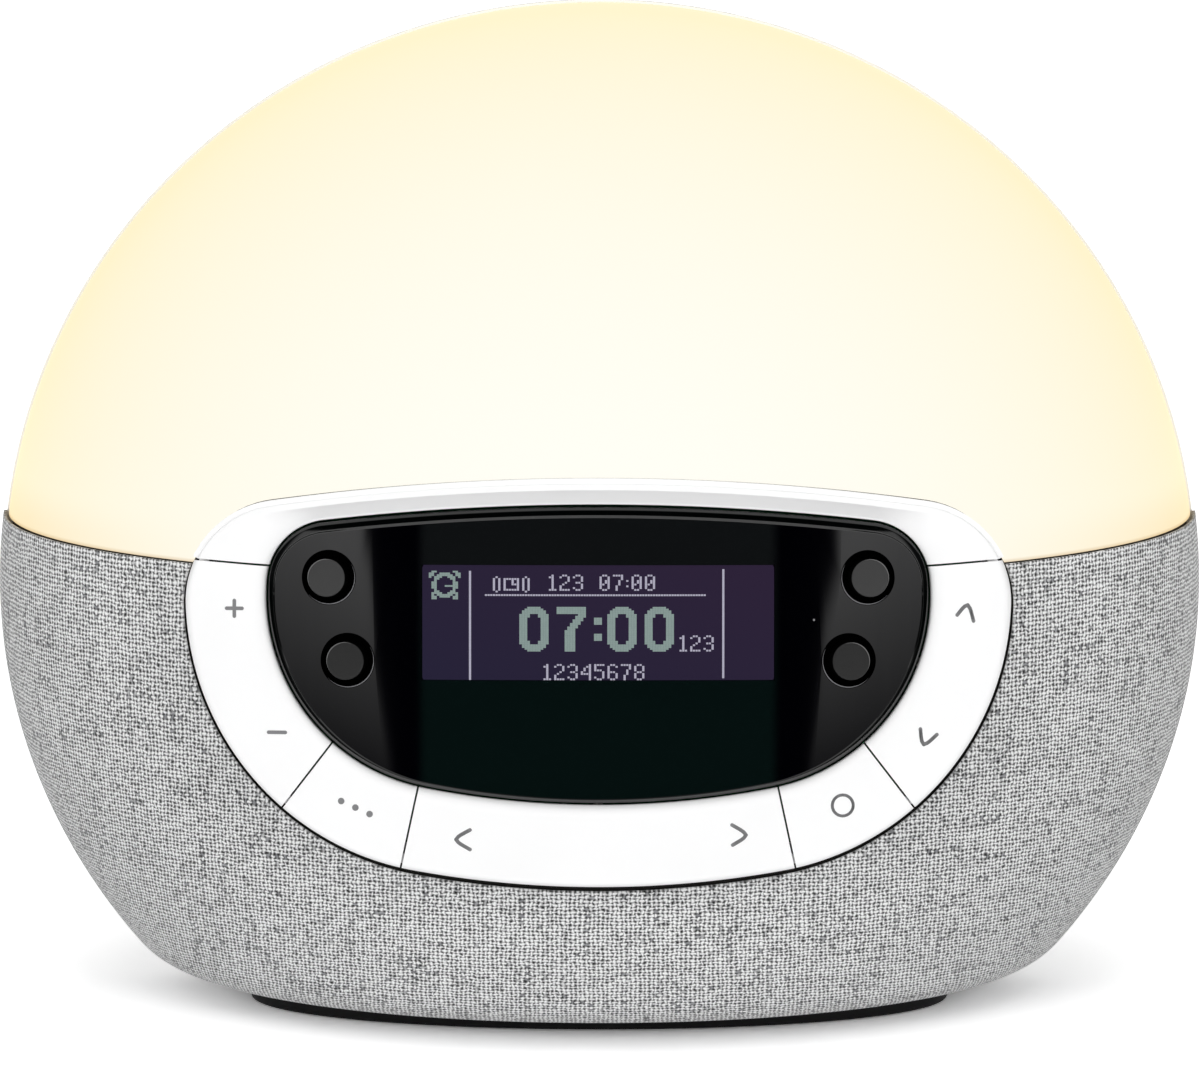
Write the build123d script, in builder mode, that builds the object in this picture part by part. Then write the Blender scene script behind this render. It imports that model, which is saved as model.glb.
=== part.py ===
from build123d import *
import os
from math import asin, cos, hypot, radians, sin, sqrt

os.makedirs("parts", exist_ok=True)

# Sunrise alarm clock: a domed light with a fabric skirt, a tilted control panel in front
# and a white rear casing. Millimetres and degrees, front towards -Y, standing on Z = 0.

# Body oval, measured from its widest level and from the seam between front and rear halves
half_width = 105.0
dome_rise = 102.8
body_drop = 99.8
underside_drop = 67.5
underside_round = 14.0
front_depth = 68.0
rear_depth = 40.0
band_level = 12.8          # dome and fabric meet this far above the widest level

# Walls and skins
dome_inset = 0.45          # the dome lies this far inside the fabric
dome_wall = 2.2
fabric_thickness = 1.2
shell_gap = 0.1
shell_wall = 2.2
casing_wall = 2.4
seam_gap = 0.15            # between pieces that meet edge to edge
lip_height = 4.0
lip_wall = 1.6

# Base
plinth_half_width = 61.3
plinth_half_depth = 24.0
plinth_centre = -13.7      # from the seam plane, towards the front
plinth_height = 4.2
foot_stand_out = 0.3
foot_recess = 0.8
foot_length = 16.0
foot_width = 6.0
foot_spread_x = 72.0
foot_spread_y = 22.0
base_screw_spread = 60.0

# Control panel, in its own plane: across, up, and out of the front
panel_tilt = 8.5
panel_front = -73.0        # panel centre ahead of the seam plane
panel_drop = 7.0           # panel centre below the widest level
bend_radius = 260.0        # the panel's front is bent about its own upright axis
fascia_top = 32.9
fascia_top_radius = 388.0
fascia_reach = 55.0
fascia_side_radius = 32.0
fascia_bottom = 16.2
fascia_bottom_radius = 156.0
fascia_corner = 10.3
ring_top = 37.2
ring_bottom_radius = 182.0
ring_corner = 16.6
key_width = 14.05
key_thickness = 2.2
key_gap = 0.4
key_edge = 0.6
fascia_recess = 0.25
fascia_thickness = 2.0
wall_top = 3.4             # housing wall's top edge below the panel front
pod_depth = 28.0
pod_floor = 2.0
pod_wall = 1.6
pod_inset = 0.6
opening_clearance = 0.5
collar_wall = 2.0
flange_width = 6.0

# Seams between the keys: inner end across and up, and the angle they run outwards at
shoulder_seam = (55.4, 23.0)
shoulder_seam_angle = 4.5
lower_seam = (44.65, -6.9)
lower_seam_angle = -52.3
bottom_seam = (30.0, -14.0)
bottom_seam_angle = -77.8
seam_length = 40.0

# Display
display_width = 58.4
display_height = 19.0
display_level = 13.7
display_fit = 0.1
gasket_border = 2.4
gasket_overlap = 1.2
module_border = 3.6
module_depth = 3.2
module_front = 4.6

# Round buttons, two on each side of the display
button_column = 43.3
button_level = 14.2
button_lean = 1.6
button_half_pitch = 6.9
button_hole = 9.2
button_cap = 6.4
button_proud = 2.0
button_flange = 11.0
button_flange_height = 2.4
button_travel = 0.6
retaining_gap = 0.4

# Switches and boards
board_thickness = 1.6
main_board_front = 17.4
side_board_thickness = 1.2
side_board_width = 11.0
side_board_height = 22.0
switch_size = 5.2
switch_body = 3.4
plunger_width = 3.4
plunger_height = 1.0
rest_gap = 0.2             # kept between a pressed key and its switch
key_travel = 0.5
stem_width = 3.0
board_inset = 3.2
frame_inset = 1.2
frame_wall = 1.4
frame_plate = 1.2
post_width = 5.0

# Rocking keys
side_pivot = (58.9, 5.3)
side_pivot_angle = 18.0
centre_pivot_level = -23.3
pivot_depth = 5.2
pin_width = 1.6
pin_fit = 0.1
lug_length = 6.0
lug_width = 4.4
side_mark_upper = (61.0, 16.0)
side_mark_lower = (53.9, -5.8)
centre_mark = (24.0, -22.1)
push_mark = (40.4, -16.9)
side_pin_outer = 6.0
side_pin_inner = 8.3
centre_pin_outer = 5.3
centre_pin_inner = 8.5

# Light chamber
tray_back = -8.0           # from the seam plane
tray_wall = 2.0
tray_inset = 3.2
tray_top_boss = (62.0, 58.0)
shelf_depth = 26.0
led_board_width = 72.0
led_board_height = 28.0
led_board_level = 56.0
led_columns = 5
led_rows = 2
led_spacing = 9.0
led_size = 5.0
led_height = 1.6
led_screw_spread = (62.0, 20.0)
spreader_thickness = 3.0
reflector_gap = 0.5
reflector_wall = 1.2
reflector_depth = 10.0
reflector_flare = 6.0

# Loudspeaker
speaker_level = -12.0
speaker_back = 23.0        # face of its seat, behind the seam plane
speaker_width = 60.0
speaker_rim = 5.0          # width of its flange
seat_margin = 2.0          # the seat is this much larger all round
speaker_screw_inset = 2.1  # screw centres inside the flange's edge
cone_roll = 2.0            # width of the cone's rolled edge
cone_throat = 16.0
cone_wall = 0.6
basket_throat = 34.0
basket_wall = 1.2
basket_depth = 15.0
magnet_width = 32.0
magnet_depth = 9.0
flange_thickness = 2.0
speaker_gasket_height = 1.0
grille_hole = 2.4
grille_spacing = 5.6
grille_rings = 4

# Rear inlets
bay_width = 62.0
bay_height = 15.0
bay_level = -48.0
bay_face = 26.0            # flat face of the bay, behind the seam plane
bay_wall = 2.5
jack_across = 18.0
jack_bore = 5.6
jack_barrel = 8.0
jack_flange = 11.0
jack_length = 12.0
jack_depth = 9.5
jack_root = 4.0
jack_pin = 2.1
jack_pin_root = 2.6
grommet_across = -18.0
grommet_width = 7.0
grommet_flange = 10.0

# Screws
screw_width = 3.0
screw_head = 5.6
screw_head_height = 2.0
screw_clearance = 0.2
boss_width = 8.0
boss_depth = 8.0
lower_boss = (84.0, -26.0)     # across and up from the body's centre
head_seat = 4.0            # where the casing screws' heads sit, behind the seam plane
panel_screw_upper = (63.0, 17.0)   # across and up from the panel's centre
panel_screw_lower = (38.0, -22.8)

# Worked out from the above
seat_bore = speaker_width - 2 * speaker_rim
seat_width = speaker_width + 2 * seat_margin
speaker_screw_circle = speaker_width - 2 * speaker_screw_inset
cone_width = seat_bore - 2 * cone_roll
ring_reach = fascia_reach + key_width
ring_side_radius = fascia_side_radius + key_width
ring_bottom = fascia_bottom + key_width
body_level = foot_stand_out + plinth_height + underside_drop
tray_foot_level = band_level + lip_height + seam_gap
front_reach = ring_bottom * sin(radians(panel_tilt)) - panel_front
seam_y = (front_reach - rear_depth) / 2
far = 3 * half_width       # longer than anything it cuts
deep = bend_radius / 2     # deeper than the panel, within its bend

seam_plane = Plane.XZ.offset(-seam_y)
band_plane = Plane.XY.offset(body_level + band_level)
panel_plane = Plane(
    origin=(0, seam_y + panel_front, body_level - panel_drop),
    x_dir=(1, 0, 0),
    z_dir=(0, -cos(radians(panel_tilt)), sin(radians(panel_tilt))),
)


def body_form(inset, depth):
    # the body's oval turned about its upright axis, then flattened to one half's depth
    with BuildPart() as form:
        with BuildSketch(Plane.XZ) as section:
            with BuildLine():
                EllipticalCenterArc((0, 0), half_width - inset, dome_rise - inset, 0, arc_size=90)
                EllipticalCenterArc((0, 0), half_width - inset, body_drop - inset, -90, arc_size=90)
                Line((0, inset - body_drop), (0, dome_rise - inset))
            make_face()
            with Locations((0, inset - underside_drop)):
                Rectangle(far, far, align=(Align.CENTER, Align.MAX), mode=Mode.SUBTRACT)
            corner = section.vertices().group_by(Axis.Y)[0].sort_by(Axis.X)[-1]
            fillet(corner, underside_round - inset)
        revolve(axis=Axis.Z)
        scale(by=(1, (depth - inset) / (half_width - inset), 1))
    return form.part.moved(Location((0, seam_y, body_level)))


def front_form(inset):
    form = body_form(inset, front_depth)
    return split(form, bisect_by=seam_plane, keep=Keep.TOP, mode=Mode.PRIVATE)


def rear_form(inset):
    form = body_form(inset, rear_depth)
    return split(form, bisect_by=seam_plane, keep=Keep.BOTTOM, mode=Mode.PRIVATE)


def shield(top, top_radius, reach, side_radius, bottom, bottom_radius, corner):
    # shallow arc on top, side arcs that run on into a shallow arc below, rounded shoulders
    bottom_centre = bottom_radius - bottom
    side_x = reach - side_radius
    side_y = bottom_centre - sqrt((bottom_radius - side_radius) ** 2 - side_x**2)
    # where the side arc runs into the bottom arc
    blend = bottom_radius / (bottom_radius - side_radius)
    blend_x = side_x * blend
    blend_y = bottom_centre + (side_y - bottom_centre) * blend
    # where the side circle crosses the top circle
    top_centre = top - top_radius
    apart = hypot(side_x, side_y - top_centre)
    along = (top_radius**2 - side_radius**2 + apart**2) / (2 * apart)
    aside = sqrt(top_radius**2 - along**2)
    lean_x, lean_y = side_x / apart, (side_y - top_centre) / apart
    shoulder_x = along * lean_x + aside * lean_y
    shoulder_y = top_centre + along * lean_y - aside * lean_x
    with BuildSketch() as face:
        with BuildLine():
            ThreePointArc((-shoulder_x, shoulder_y), (0, top), (shoulder_x, shoulder_y))
            ThreePointArc((shoulder_x, shoulder_y), (reach, side_y), (blend_x, blend_y))
            ThreePointArc((blend_x, blend_y), (0, -bottom), (-blend_x, blend_y))
            ThreePointArc((-blend_x, blend_y), (-reach, side_y), (-shoulder_x, shoulder_y))
        make_face()
        fillet(face.vertices().sort_by(Axis.Y)[-2:], corner)
    return face.sketch


def fascia_face(grow=0.0):
    return shield(
        fascia_top + grow,
        fascia_top_radius + grow,
        fascia_reach + grow,
        fascia_side_radius + grow,
        fascia_bottom + grow,
        fascia_bottom_radius + grow,
        fascia_corner + grow,
    )


def ring_face(grow=0.0):
    # the outer edge of the keys around the fascia
    return shield(
        ring_top + grow,
        fascia_top_radius + grow,
        ring_reach + grow,
        ring_side_radius + grow,
        ring_bottom + grow,
        ring_bottom_radius + grow,
        ring_corner + grow,
    )


def bent_slab(front, back):
    # everything between two depths below the bent front of the panel
    with BuildPart() as slab:
        with BuildSketch(Plane(panel_plane.origin, panel_plane.x_dir, panel_plane.y_dir)):
            with Locations((0, bend_radius)):
                Circle(bend_radius - front)
                Circle(bend_radius - back, mode=Mode.SUBTRACT)
        extrude(amount=far / 2, both=True)
    return slab.part


def bent_plate(outline, front, back):
    # an outline seen square on, given the panel's bend and a thickness
    with BuildPart() as plate:
        with BuildSketch(panel_plane.offset(-pod_depth)):
            add(outline)
        extrude(amount=pod_depth)
        add(bent_slab(front, back), mode=Mode.INTERSECT)
    return plate.part


def bent_plane(across, up, turn=0.0):
    # touches the bent front at a point, its x axis turned within the surface
    lean = asin(across / bend_radius)
    turned = radians(turn)
    local = Plane(
        origin=(across, up, bend_radius * (cos(lean) - 1)),
        x_dir=(cos(turned) * cos(lean), sin(turned), -cos(turned) * sin(lean)),
        z_dir=(sin(lean), 0, cos(lean)),
    )
    return Plane(panel_plane.location * local.location)


def rod(plane, start, end, width):
    # a round bar along a plane's normal
    with BuildPart() as bar:
        with BuildSketch(plane.offset(start)):
            Circle(width / 2)
        extrude(amount=end - start)
    return bar.part


def depth_plane(distance):
    # upright plane a distance behind the seam, facing the rear, x to the right from behind
    return Plane(origin=(0, seam_y + distance, body_level), x_dir=(-1, 0, 0), z_dir=(0, 1, 0))


def finish(piece, name):
    piece.label = name
    export_step(piece, f"parts/{name}.step")


# Panel opening, cut through every skin in front
with BuildPart() as panel_opening:
    with BuildSketch(panel_plane.offset(-pod_depth)):
        add(ring_face(opening_clearance))
    extrude(amount=far)

# --- Shells ---

with BuildPart() as diffuser_dome:
    add(front_form(dome_inset))
    add(front_form(dome_inset + dome_wall), mode=Mode.SUBTRACT)
    split(bisect_by=band_plane.offset(seam_gap), keep=Keep.TOP)
    add(panel_opening.part, mode=Mode.SUBTRACT)
finish(diffuser_dome.part, "diffuser_dome")

base_screw_spots = [
    (-base_screw_spread / 2, seam_y + plinth_centre),
    (base_screw_spread / 2, seam_y + plinth_centre),
]
underside = foot_stand_out + plinth_height

with BuildPart() as fabric_skin:
    add(front_form(0))
    add(front_form(fabric_thickness), mode=Mode.SUBTRACT)
    split(bisect_by=band_plane, keep=Keep.BOTTOM)
    add(panel_opening.part, mode=Mode.SUBTRACT)
    with BuildSketch(Plane.XY.offset(underside)):
        with Locations(base_screw_spots):
            Circle(boss_width / 2 + screw_clearance)
    extrude(amount=fabric_thickness, mode=Mode.SUBTRACT)
finish(fabric_skin.part, "fabric_skin")

panel_screw_spots = [
    (side * spot[0], spot[1]) for spot in (panel_screw_upper, panel_screw_lower) for side in (-1, 1)
]
shell_inset = fabric_thickness + shell_gap
lip_inset = dome_inset + dome_wall + screw_clearance
lower_boss_spots = [(-lower_boss[0], lower_boss[1]), (lower_boss[0], lower_boss[1])]

with BuildPart() as shell_lip:
    add(front_form(lip_inset))
    add(front_form(lip_inset + lip_wall), mode=Mode.SUBTRACT)
    split(bisect_by=band_plane.offset(lip_height), keep=Keep.BOTTOM)
    split(bisect_by=band_plane.offset(-lip_height), keep=Keep.TOP)

with BuildPart() as panel_collar:
    with BuildSketch(panel_plane.offset(-pod_depth - pod_floor)):
        add(ring_face(opening_clearance + collar_wall))
    extrude(amount=far)
    with BuildSketch(panel_plane.offset(-pod_depth - pod_floor)):
        add(ring_face(-flange_width))
    extrude(amount=far, mode=Mode.SUBTRACT)
    add(front_form(lip_inset), mode=Mode.INTERSECT)

with BuildPart() as shell_bosses:
    with BuildSketch(depth_plane(-boss_depth)):
        with Locations(lower_boss_spots):
            Circle(boss_width / 2)
        with Locations((0, lower_boss[1])):
            Rectangle(2 * half_width, lip_wall)
            Rectangle(2 * lower_boss[0], boss_width, mode=Mode.SUBTRACT)
    extrude(amount=boss_depth)
    add(front_form(shell_inset + shell_wall / 2), mode=Mode.INTERSECT)

with BuildPart() as front_shell:
    add(front_form(shell_inset))
    add(front_form(shell_inset + shell_wall), mode=Mode.SUBTRACT)
    split(bisect_by=band_plane.offset(-seam_gap), keep=Keep.BOTTOM)
    add(shell_lip.part)
    add(panel_collar.part)
    add(shell_bosses.part)
    with BuildSketch(Plane.XY.offset(underside + shell_inset)):
        with Locations(base_screw_spots):
            Circle(boss_width / 2)
    extrude(amount=boss_depth)
    add(panel_opening.part, mode=Mode.SUBTRACT)
    with BuildSketch(depth_plane(-boss_depth)):
        with Locations(lower_boss_spots):
            Circle(screw_width / 2)
    extrude(amount=boss_depth, mode=Mode.SUBTRACT)
    with BuildSketch(Plane.XY.offset(underside)):
        with Locations(base_screw_spots):
            Circle(screw_width / 2)
    extrude(amount=boss_depth, mode=Mode.SUBTRACT)
    with BuildSketch(panel_plane.offset(-pod_depth - pod_floor)):
        with Locations(panel_screw_spots):
            Circle(screw_width / 2 + screw_clearance)
    extrude(amount=pod_floor, mode=Mode.SUBTRACT)
finish(front_shell.part, "front_shell")

# a soft strip under the dome's lower edge, behind the fabric
with BuildPart() as dome_gasket:
    add(front_form(shell_inset))
    add(front_form(lip_inset - screw_clearance), mode=Mode.SUBTRACT)
    split(bisect_by=band_plane.offset(seam_gap), keep=Keep.BOTTOM)
    split(bisect_by=band_plane.offset(-seam_gap), keep=Keep.TOP)
    add(panel_opening.part, mode=Mode.SUBTRACT)
finish(dome_gasket.part, "dome_gasket")

upper_boss_spots = [(-tray_top_boss[0], tray_top_boss[1]), (tray_top_boss[0], tray_top_boss[1])]
casing_screw_spots = upper_boss_spots + lower_boss_spots

with BuildPart() as casing_fittings:
    with BuildSketch(depth_plane(0)):
        with Locations(casing_screw_spots):
            Circle(boss_width / 2)
    extrude(amount=far)
    with BuildSketch(depth_plane(speaker_back)):
        with Locations((0, speaker_level)):
            Circle(seat_width / 2)
            Circle(seat_bore / 2, mode=Mode.SUBTRACT)
    extrude(amount=far)
    with BuildSketch(depth_plane(bay_face - bay_wall)):
        with Locations((0, bay_level)):
            Rectangle(bay_width + 2 * bay_wall, bay_height + 2 * bay_wall)
    extrude(amount=far)
    add(rear_form(casing_wall / 2), mode=Mode.INTERSECT)

with BuildPart() as grille:
    with BuildSketch(depth_plane(speaker_back)):
        with Locations((0, speaker_level)):
            Circle(grille_hole / 2)
            for ring in range(1, grille_rings + 1):
                with PolarLocations(ring * grille_spacing, 6 * ring):
                    Circle(grille_hole / 2)
    extrude(amount=far)

jack_spot = (jack_across, bay_level)
grommet_spot = (grommet_across, bay_level)

with BuildPart() as rear_casing:
    add(rear_form(0))
    add(rear_form(casing_wall), mode=Mode.SUBTRACT)
    add(casing_fittings.part)
    with BuildSketch(depth_plane(bay_face)):
        with Locations((0, bay_level)):
            RectangleRounded(bay_width, bay_height, bay_wall)
    extrude(amount=far, mode=Mode.SUBTRACT)
    with BuildSketch(depth_plane(0)):
        with Locations(casing_screw_spots):
            Circle(screw_width / 2 + screw_clearance)
        with Locations(jack_spot):
            Circle(jack_barrel / 2 + screw_clearance)
        with Locations(grommet_spot):
            Circle(grommet_width / 2)
    extrude(amount=far, mode=Mode.SUBTRACT)
    with BuildSketch(depth_plane(head_seat)):
        with Locations(casing_screw_spots):
            Circle(screw_head / 2 + screw_clearance)
    extrude(amount=far, mode=Mode.SUBTRACT)
    with BuildSketch(depth_plane(speaker_back)):
        with Locations((0, speaker_level)):
            with PolarLocations(speaker_screw_circle / 2, 4, start_angle=45):
                Circle(screw_width / 2)
    extrude(amount=boss_depth, mode=Mode.SUBTRACT)
    add(grille.part, mode=Mode.SUBTRACT)
finish(rear_casing.part, "rear_casing")

# --- Base ---

with BuildPart() as base_plinth:
    with BuildSketch(Plane.XY.offset(foot_stand_out)):
        with Locations((0, seam_y + plinth_centre)):
            Ellipse(plinth_half_width, plinth_half_depth)
    extrude(amount=plinth_height)
    with BuildSketch(Plane.XY.offset(foot_stand_out)):
        with Locations((0, seam_y + plinth_centre)):
            with GridLocations(foot_spread_x, foot_spread_y, 2, 2):
                SlotOverall(foot_length, foot_width)
    extrude(amount=foot_recess, mode=Mode.SUBTRACT)
    with BuildSketch(Plane.XY.offset(foot_stand_out)):
        with Locations(base_screw_spots):
            Circle(screw_width / 2 + screw_clearance)
    extrude(amount=plinth_height, mode=Mode.SUBTRACT)
    with BuildSketch(Plane.XY.offset(foot_stand_out)):
        with Locations(base_screw_spots):
            Circle(screw_head / 2 + screw_clearance)
    extrude(amount=screw_head_height + screw_clearance, mode=Mode.SUBTRACT)
finish(base_plinth.part, "base_plinth")

with BuildPart() as rubber_feet:
    with BuildSketch():
        with Locations((0, seam_y + plinth_centre)):
            with GridLocations(foot_spread_x, foot_spread_y, 2, 2):
                SlotOverall(foot_length - screw_clearance, foot_width - screw_clearance)
    extrude(amount=foot_stand_out + foot_recess)
finish(rubber_feet.part, "rubber_feet")


def screws(plane, spots, length):
    # pan-head screws whose heads sit on a plane and whose shafts run against its normal
    with BuildPart() as group:
        with BuildSketch(plane):
            with Locations(spots):
                Circle(screw_head / 2)
        extrude(amount=screw_head_height)
        with BuildSketch(plane):
            with Locations(spots):
                Circle(screw_width / 2 - screw_clearance / 2)
        extrude(amount=-length)
    return group.part


base_seat = Plane(
    origin=(0, 0, foot_stand_out + screw_head_height + screw_clearance),
    x_dir=(-1, 0, 0),
    z_dir=(0, 0, -1),
)
base_screws = screws(base_seat, [(-x, y) for x, y in base_screw_spots], boss_depth)
finish(base_screws, "base_screws")
casing_screws = screws(depth_plane(head_seat), casing_screw_spots, head_seat + boss_depth / 2)
finish(casing_screws, "casing_screws")

# --- Control panel ---

key_seams = [
    (shoulder_seam, shoulder_seam_angle),
    (lower_seam, lower_seam_angle),
    (bottom_seam, bottom_seam_angle),
]

with BuildSketch() as key_ring:
    add(ring_face())
    add(fascia_face(key_gap), mode=Mode.SUBTRACT)
    for (across, up), angle in key_seams:
        with Locations(Location((across, up), angle), Location((-across, up), -angle)):
            Rectangle(seam_length, key_gap, mode=Mode.SUBTRACT)


def key_face(across, up):
    return key_ring.sketch.faces().sort_by_distance((across, up, 0))[0]


def key_plate(across, up, thickness):
    return bent_plate(key_face(across, up), 0, thickness)


switch_top = main_board_front - switch_body - plunger_height
stem_end = switch_top - key_travel - rest_gap


def key_stems(spots):
    # straight bars from a key's underside to just above its switches
    with BuildPart() as stems:
        with BuildSketch(panel_plane.offset(-stem_end)):
            with Locations(spots):
                Circle(stem_width / 2)
        extrude(amount=stem_end)
        add(bent_slab(key_thickness / 2, pod_depth), mode=Mode.INTERSECT)
    return stems.part


def pivot_plane(across, up, turn):
    # on a rocking key's pin: x along the pin and outwards, z out of the panel
    return bent_plane(across, up, turn).offset(-pivot_depth)


def pin_plane(pivot):
    return Plane(origin=pivot.origin, x_dir=pivot.z_dir, z_dir=pivot.x_dir)


def pivot_lug(pivot):
    # the ear under a rocking key, bored for its pin
    with BuildPart() as lug:
        with BuildSketch(pivot):
            Rectangle(lug_length, lug_width)
        extrude(amount=pivot_depth - key_thickness / 2)
        with BuildSketch(pin_plane(pivot)):
            Circle(lug_width / 2)
        extrude(amount=lug_length / 2, both=True)
        with BuildSketch(pin_plane(pivot)):
            Circle(pin_width / 2 + pin_fit)
        extrude(amount=lug_length / 2, both=True, mode=Mode.SUBTRACT)
    return lug.part


right_pivot = pivot_plane(side_pivot[0], side_pivot[1], -side_pivot_angle)
left_pivot = pivot_plane(-side_pivot[0], side_pivot[1], 180 + side_pivot_angle)
centre_pivot = pivot_plane(0, centre_pivot_level, -90)

pivot_rods = [
    (left_pivot, side_pin_inner, side_pin_outer),
    (right_pivot, side_pin_inner, side_pin_outer),
    (centre_pivot, centre_pin_inner, centre_pin_outer),
]

with BuildPart() as top_bezel:
    add(key_plate(0, ring_top, wall_top))
finish(top_bezel.part, "top_bezel")

with BuildPart() as left_rocker_key:
    add(key_plate(-side_pivot[0], side_pivot[1], key_thickness))
    add(key_stems([(-side_mark_upper[0], side_mark_upper[1]), (-side_mark_lower[0], side_mark_lower[1])]))
    add(pivot_lug(left_pivot))
finish(left_rocker_key.part, "left_rocker_key")

with BuildPart() as right_rocker_key:
    add(key_plate(side_pivot[0], side_pivot[1], key_thickness))
    add(key_stems([side_mark_upper, side_mark_lower]))
    add(pivot_lug(right_pivot))
finish(right_rocker_key.part, "right_rocker_key")

with BuildPart() as centre_rocker_key:
    add(key_plate(0, centre_pivot_level, key_thickness))
    add(key_stems([(-centre_mark[0], centre_mark[1]), centre_mark]))
    add(pivot_lug(centre_pivot))
finish(centre_rocker_key.part, "centre_rocker_key")

with BuildPart() as left_push_key:
    add(key_plate(-push_mark[0], push_mark[1], key_thickness))
    add(key_stems([(-push_mark[0], push_mark[1])]))
finish(left_push_key.part, "left_push_key")

with BuildPart() as right_push_key:
    add(key_plate(push_mark[0], push_mark[1], key_thickness))
    add(key_stems([push_mark]))
finish(right_push_key.part, "right_push_key")

for (pivot, inner, outer), side in zip(pivot_rods, ("left", "right", "centre")):
    finish(rod(pin_plane(pivot), -inner, outer, pin_width), f"{side}_rocker_pin")

with BuildPart() as pin_holes:
    for pivot, inner, outer in pivot_rods:
        add(rod(pin_plane(pivot), -inner - pin_fit, outer + pin_fit, pin_width + pin_fit))

with BuildPart() as panel_housing:
    add(bent_plate(ring_face(-pod_inset), wall_top, deep))
    with BuildSketch(panel_plane.offset(-pod_depth + pod_floor)):
        add(ring_face(-pod_inset - pod_wall))
    extrude(amount=pod_depth, mode=Mode.SUBTRACT)
    with BuildSketch(panel_plane.offset(-pod_depth + pod_floor)):
        with Locations(panel_screw_spots):
            Circle(post_width / 2)
        with GridLocations(2 * button_column, button_level, 2, 2):
            Circle(post_width / 2)
    extrude(amount=pod_depth - pod_floor - main_board_front - board_thickness)
    with BuildSketch(panel_plane.offset(-pod_depth)):
        with Locations(panel_screw_spots):
            Circle(screw_width / 2)
    extrude(amount=pod_floor + boss_depth / 2, mode=Mode.SUBTRACT)
    add(pin_holes.part, mode=Mode.SUBTRACT)
finish(panel_housing.part, "panel_housing")

panel_back = Plane(
    origin=panel_plane.offset(-pod_depth - pod_floor).origin,
    x_dir=-panel_plane.x_dir,
    z_dir=-panel_plane.z_dir,
)
panel_screws = screws(panel_back, [(-x, y) for x, y in panel_screw_spots], pod_floor + boss_depth / 2)
finish(panel_screws, "panel_screws")

fascia_back = fascia_recess + fascia_thickness


def button_plane(side):
    return bent_plane(side * button_column, button_level)


def button_spots(side):
    return [(side * button_lean, button_half_pitch), (-side * button_lean, -button_half_pitch)]


with BuildPart() as fascia_window:
    add(bent_plate(fascia_face(), fascia_recess, fascia_back))
    with BuildSketch(panel_plane.offset(-pod_depth)):
        with Locations((0, display_level)):
            Rectangle(display_width + 2 * display_fit, display_height + 2 * display_fit)
    extrude(amount=far, mode=Mode.SUBTRACT)
    for side in (-1, 1):
        with BuildSketch(button_plane(side).offset(-pod_depth / 2)):
            with Locations(button_spots(side)):
                Circle(button_hole / 2)
        extrude(amount=pod_depth, mode=Mode.SUBTRACT)
finish(fascia_window.part, "fascia_window")

with BuildSketch() as display_outline:
    with Locations((0, display_level)):
        Rectangle(display_width, display_height)

with BuildPart() as display_glass:
    add(bent_plate(display_outline.sketch, fascia_recess, fascia_back))
finish(display_glass.part, "display_glass")

with BuildPart() as display_gasket:
    with BuildSketch(panel_plane.offset(-module_front)):
        with Locations((0, display_level)):
            Rectangle(display_width + 2 * gasket_border, display_height + 2 * gasket_border)
            Rectangle(
                display_width - 2 * gasket_overlap,
                display_height - 2 * gasket_overlap,
                mode=Mode.SUBTRACT,
            )
    extrude(amount=module_front)
    add(bent_slab(fascia_back, pod_depth), mode=Mode.INTERSECT)
finish(display_gasket.part, "display_gasket")

module_back = module_front + module_depth

with BuildPart() as display_module:
    with BuildSketch(panel_plane.offset(-module_back)):
        with Locations((0, display_level)):
            Rectangle(display_width + 2 * module_border, display_height + 2 * module_border)
    extrude(amount=module_depth)
finish(display_module.part, "display_module")

button_foot = fascia_back + retaining_gap + button_flange_height
side_board_front = button_foot + button_travel + rest_gap + plunger_height + switch_body
side_board_back = side_board_front + side_board_thickness

for side, side_name in ((-1, "left"), (1, "right")):
    for spot, level_name in zip(button_spots(side), ("upper", "lower")):
        with BuildPart() as button:
            with BuildSketch(button_plane(side).offset(-button_foot)):
                with Locations(spot):
                    Circle(button_flange / 2)
            extrude(amount=button_flange_height)
            with BuildSketch(button_plane(side).offset(-button_foot)):
                with Locations(spot):
                    Circle(button_cap / 2)
            extrude(amount=button_foot + button_proud)
            outward = Axis(button_plane(side).origin, button_plane(side).z_dir)
            fillet(button.faces().sort_by(outward)[-1].edges(), key_edge)
        finish(button.part, f"button_{level_name}_{side_name}")

with BuildPart() as main_board:
    with BuildSketch(panel_plane.offset(-main_board_front - board_thickness)):
        add(ring_face(-board_inset))
    extrude(amount=board_thickness)
finish(main_board.part, "main_board")

for side, side_name in ((-1, "left"), (1, "right")):
    with BuildPart() as side_board:
        with BuildSketch(button_plane(side).offset(-side_board_back)):
            Rectangle(side_board_width, side_board_height)
        extrude(amount=side_board_thickness)
    finish(side_board.part, f"{side_name}_switch_board")

key_switch_spots = [
    (side * spot[0], spot[1])
    for side in (-1, 1)
    for spot in (side_mark_upper, side_mark_lower, push_mark, centre_mark)
]
switch_seats = [
    (panel_plane.offset(-main_board_front), key_switch_spots),
    (button_plane(-1).offset(-side_board_front), button_spots(-1)),
    (button_plane(1).offset(-side_board_front), button_spots(1)),
]

with BuildPart() as tact_switches:
    for seat, spots in switch_seats:
        with BuildSketch(seat):
            with Locations(spots):
                Rectangle(switch_size, switch_size)
        extrude(amount=switch_body)
        with BuildSketch(seat):
            with Locations(spots):
                Circle(plunger_width / 2)
        extrude(amount=switch_body + plunger_height)
finish(tact_switches.part, "tact_switches")

frame_floor = frame_plate - main_board_front


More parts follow.
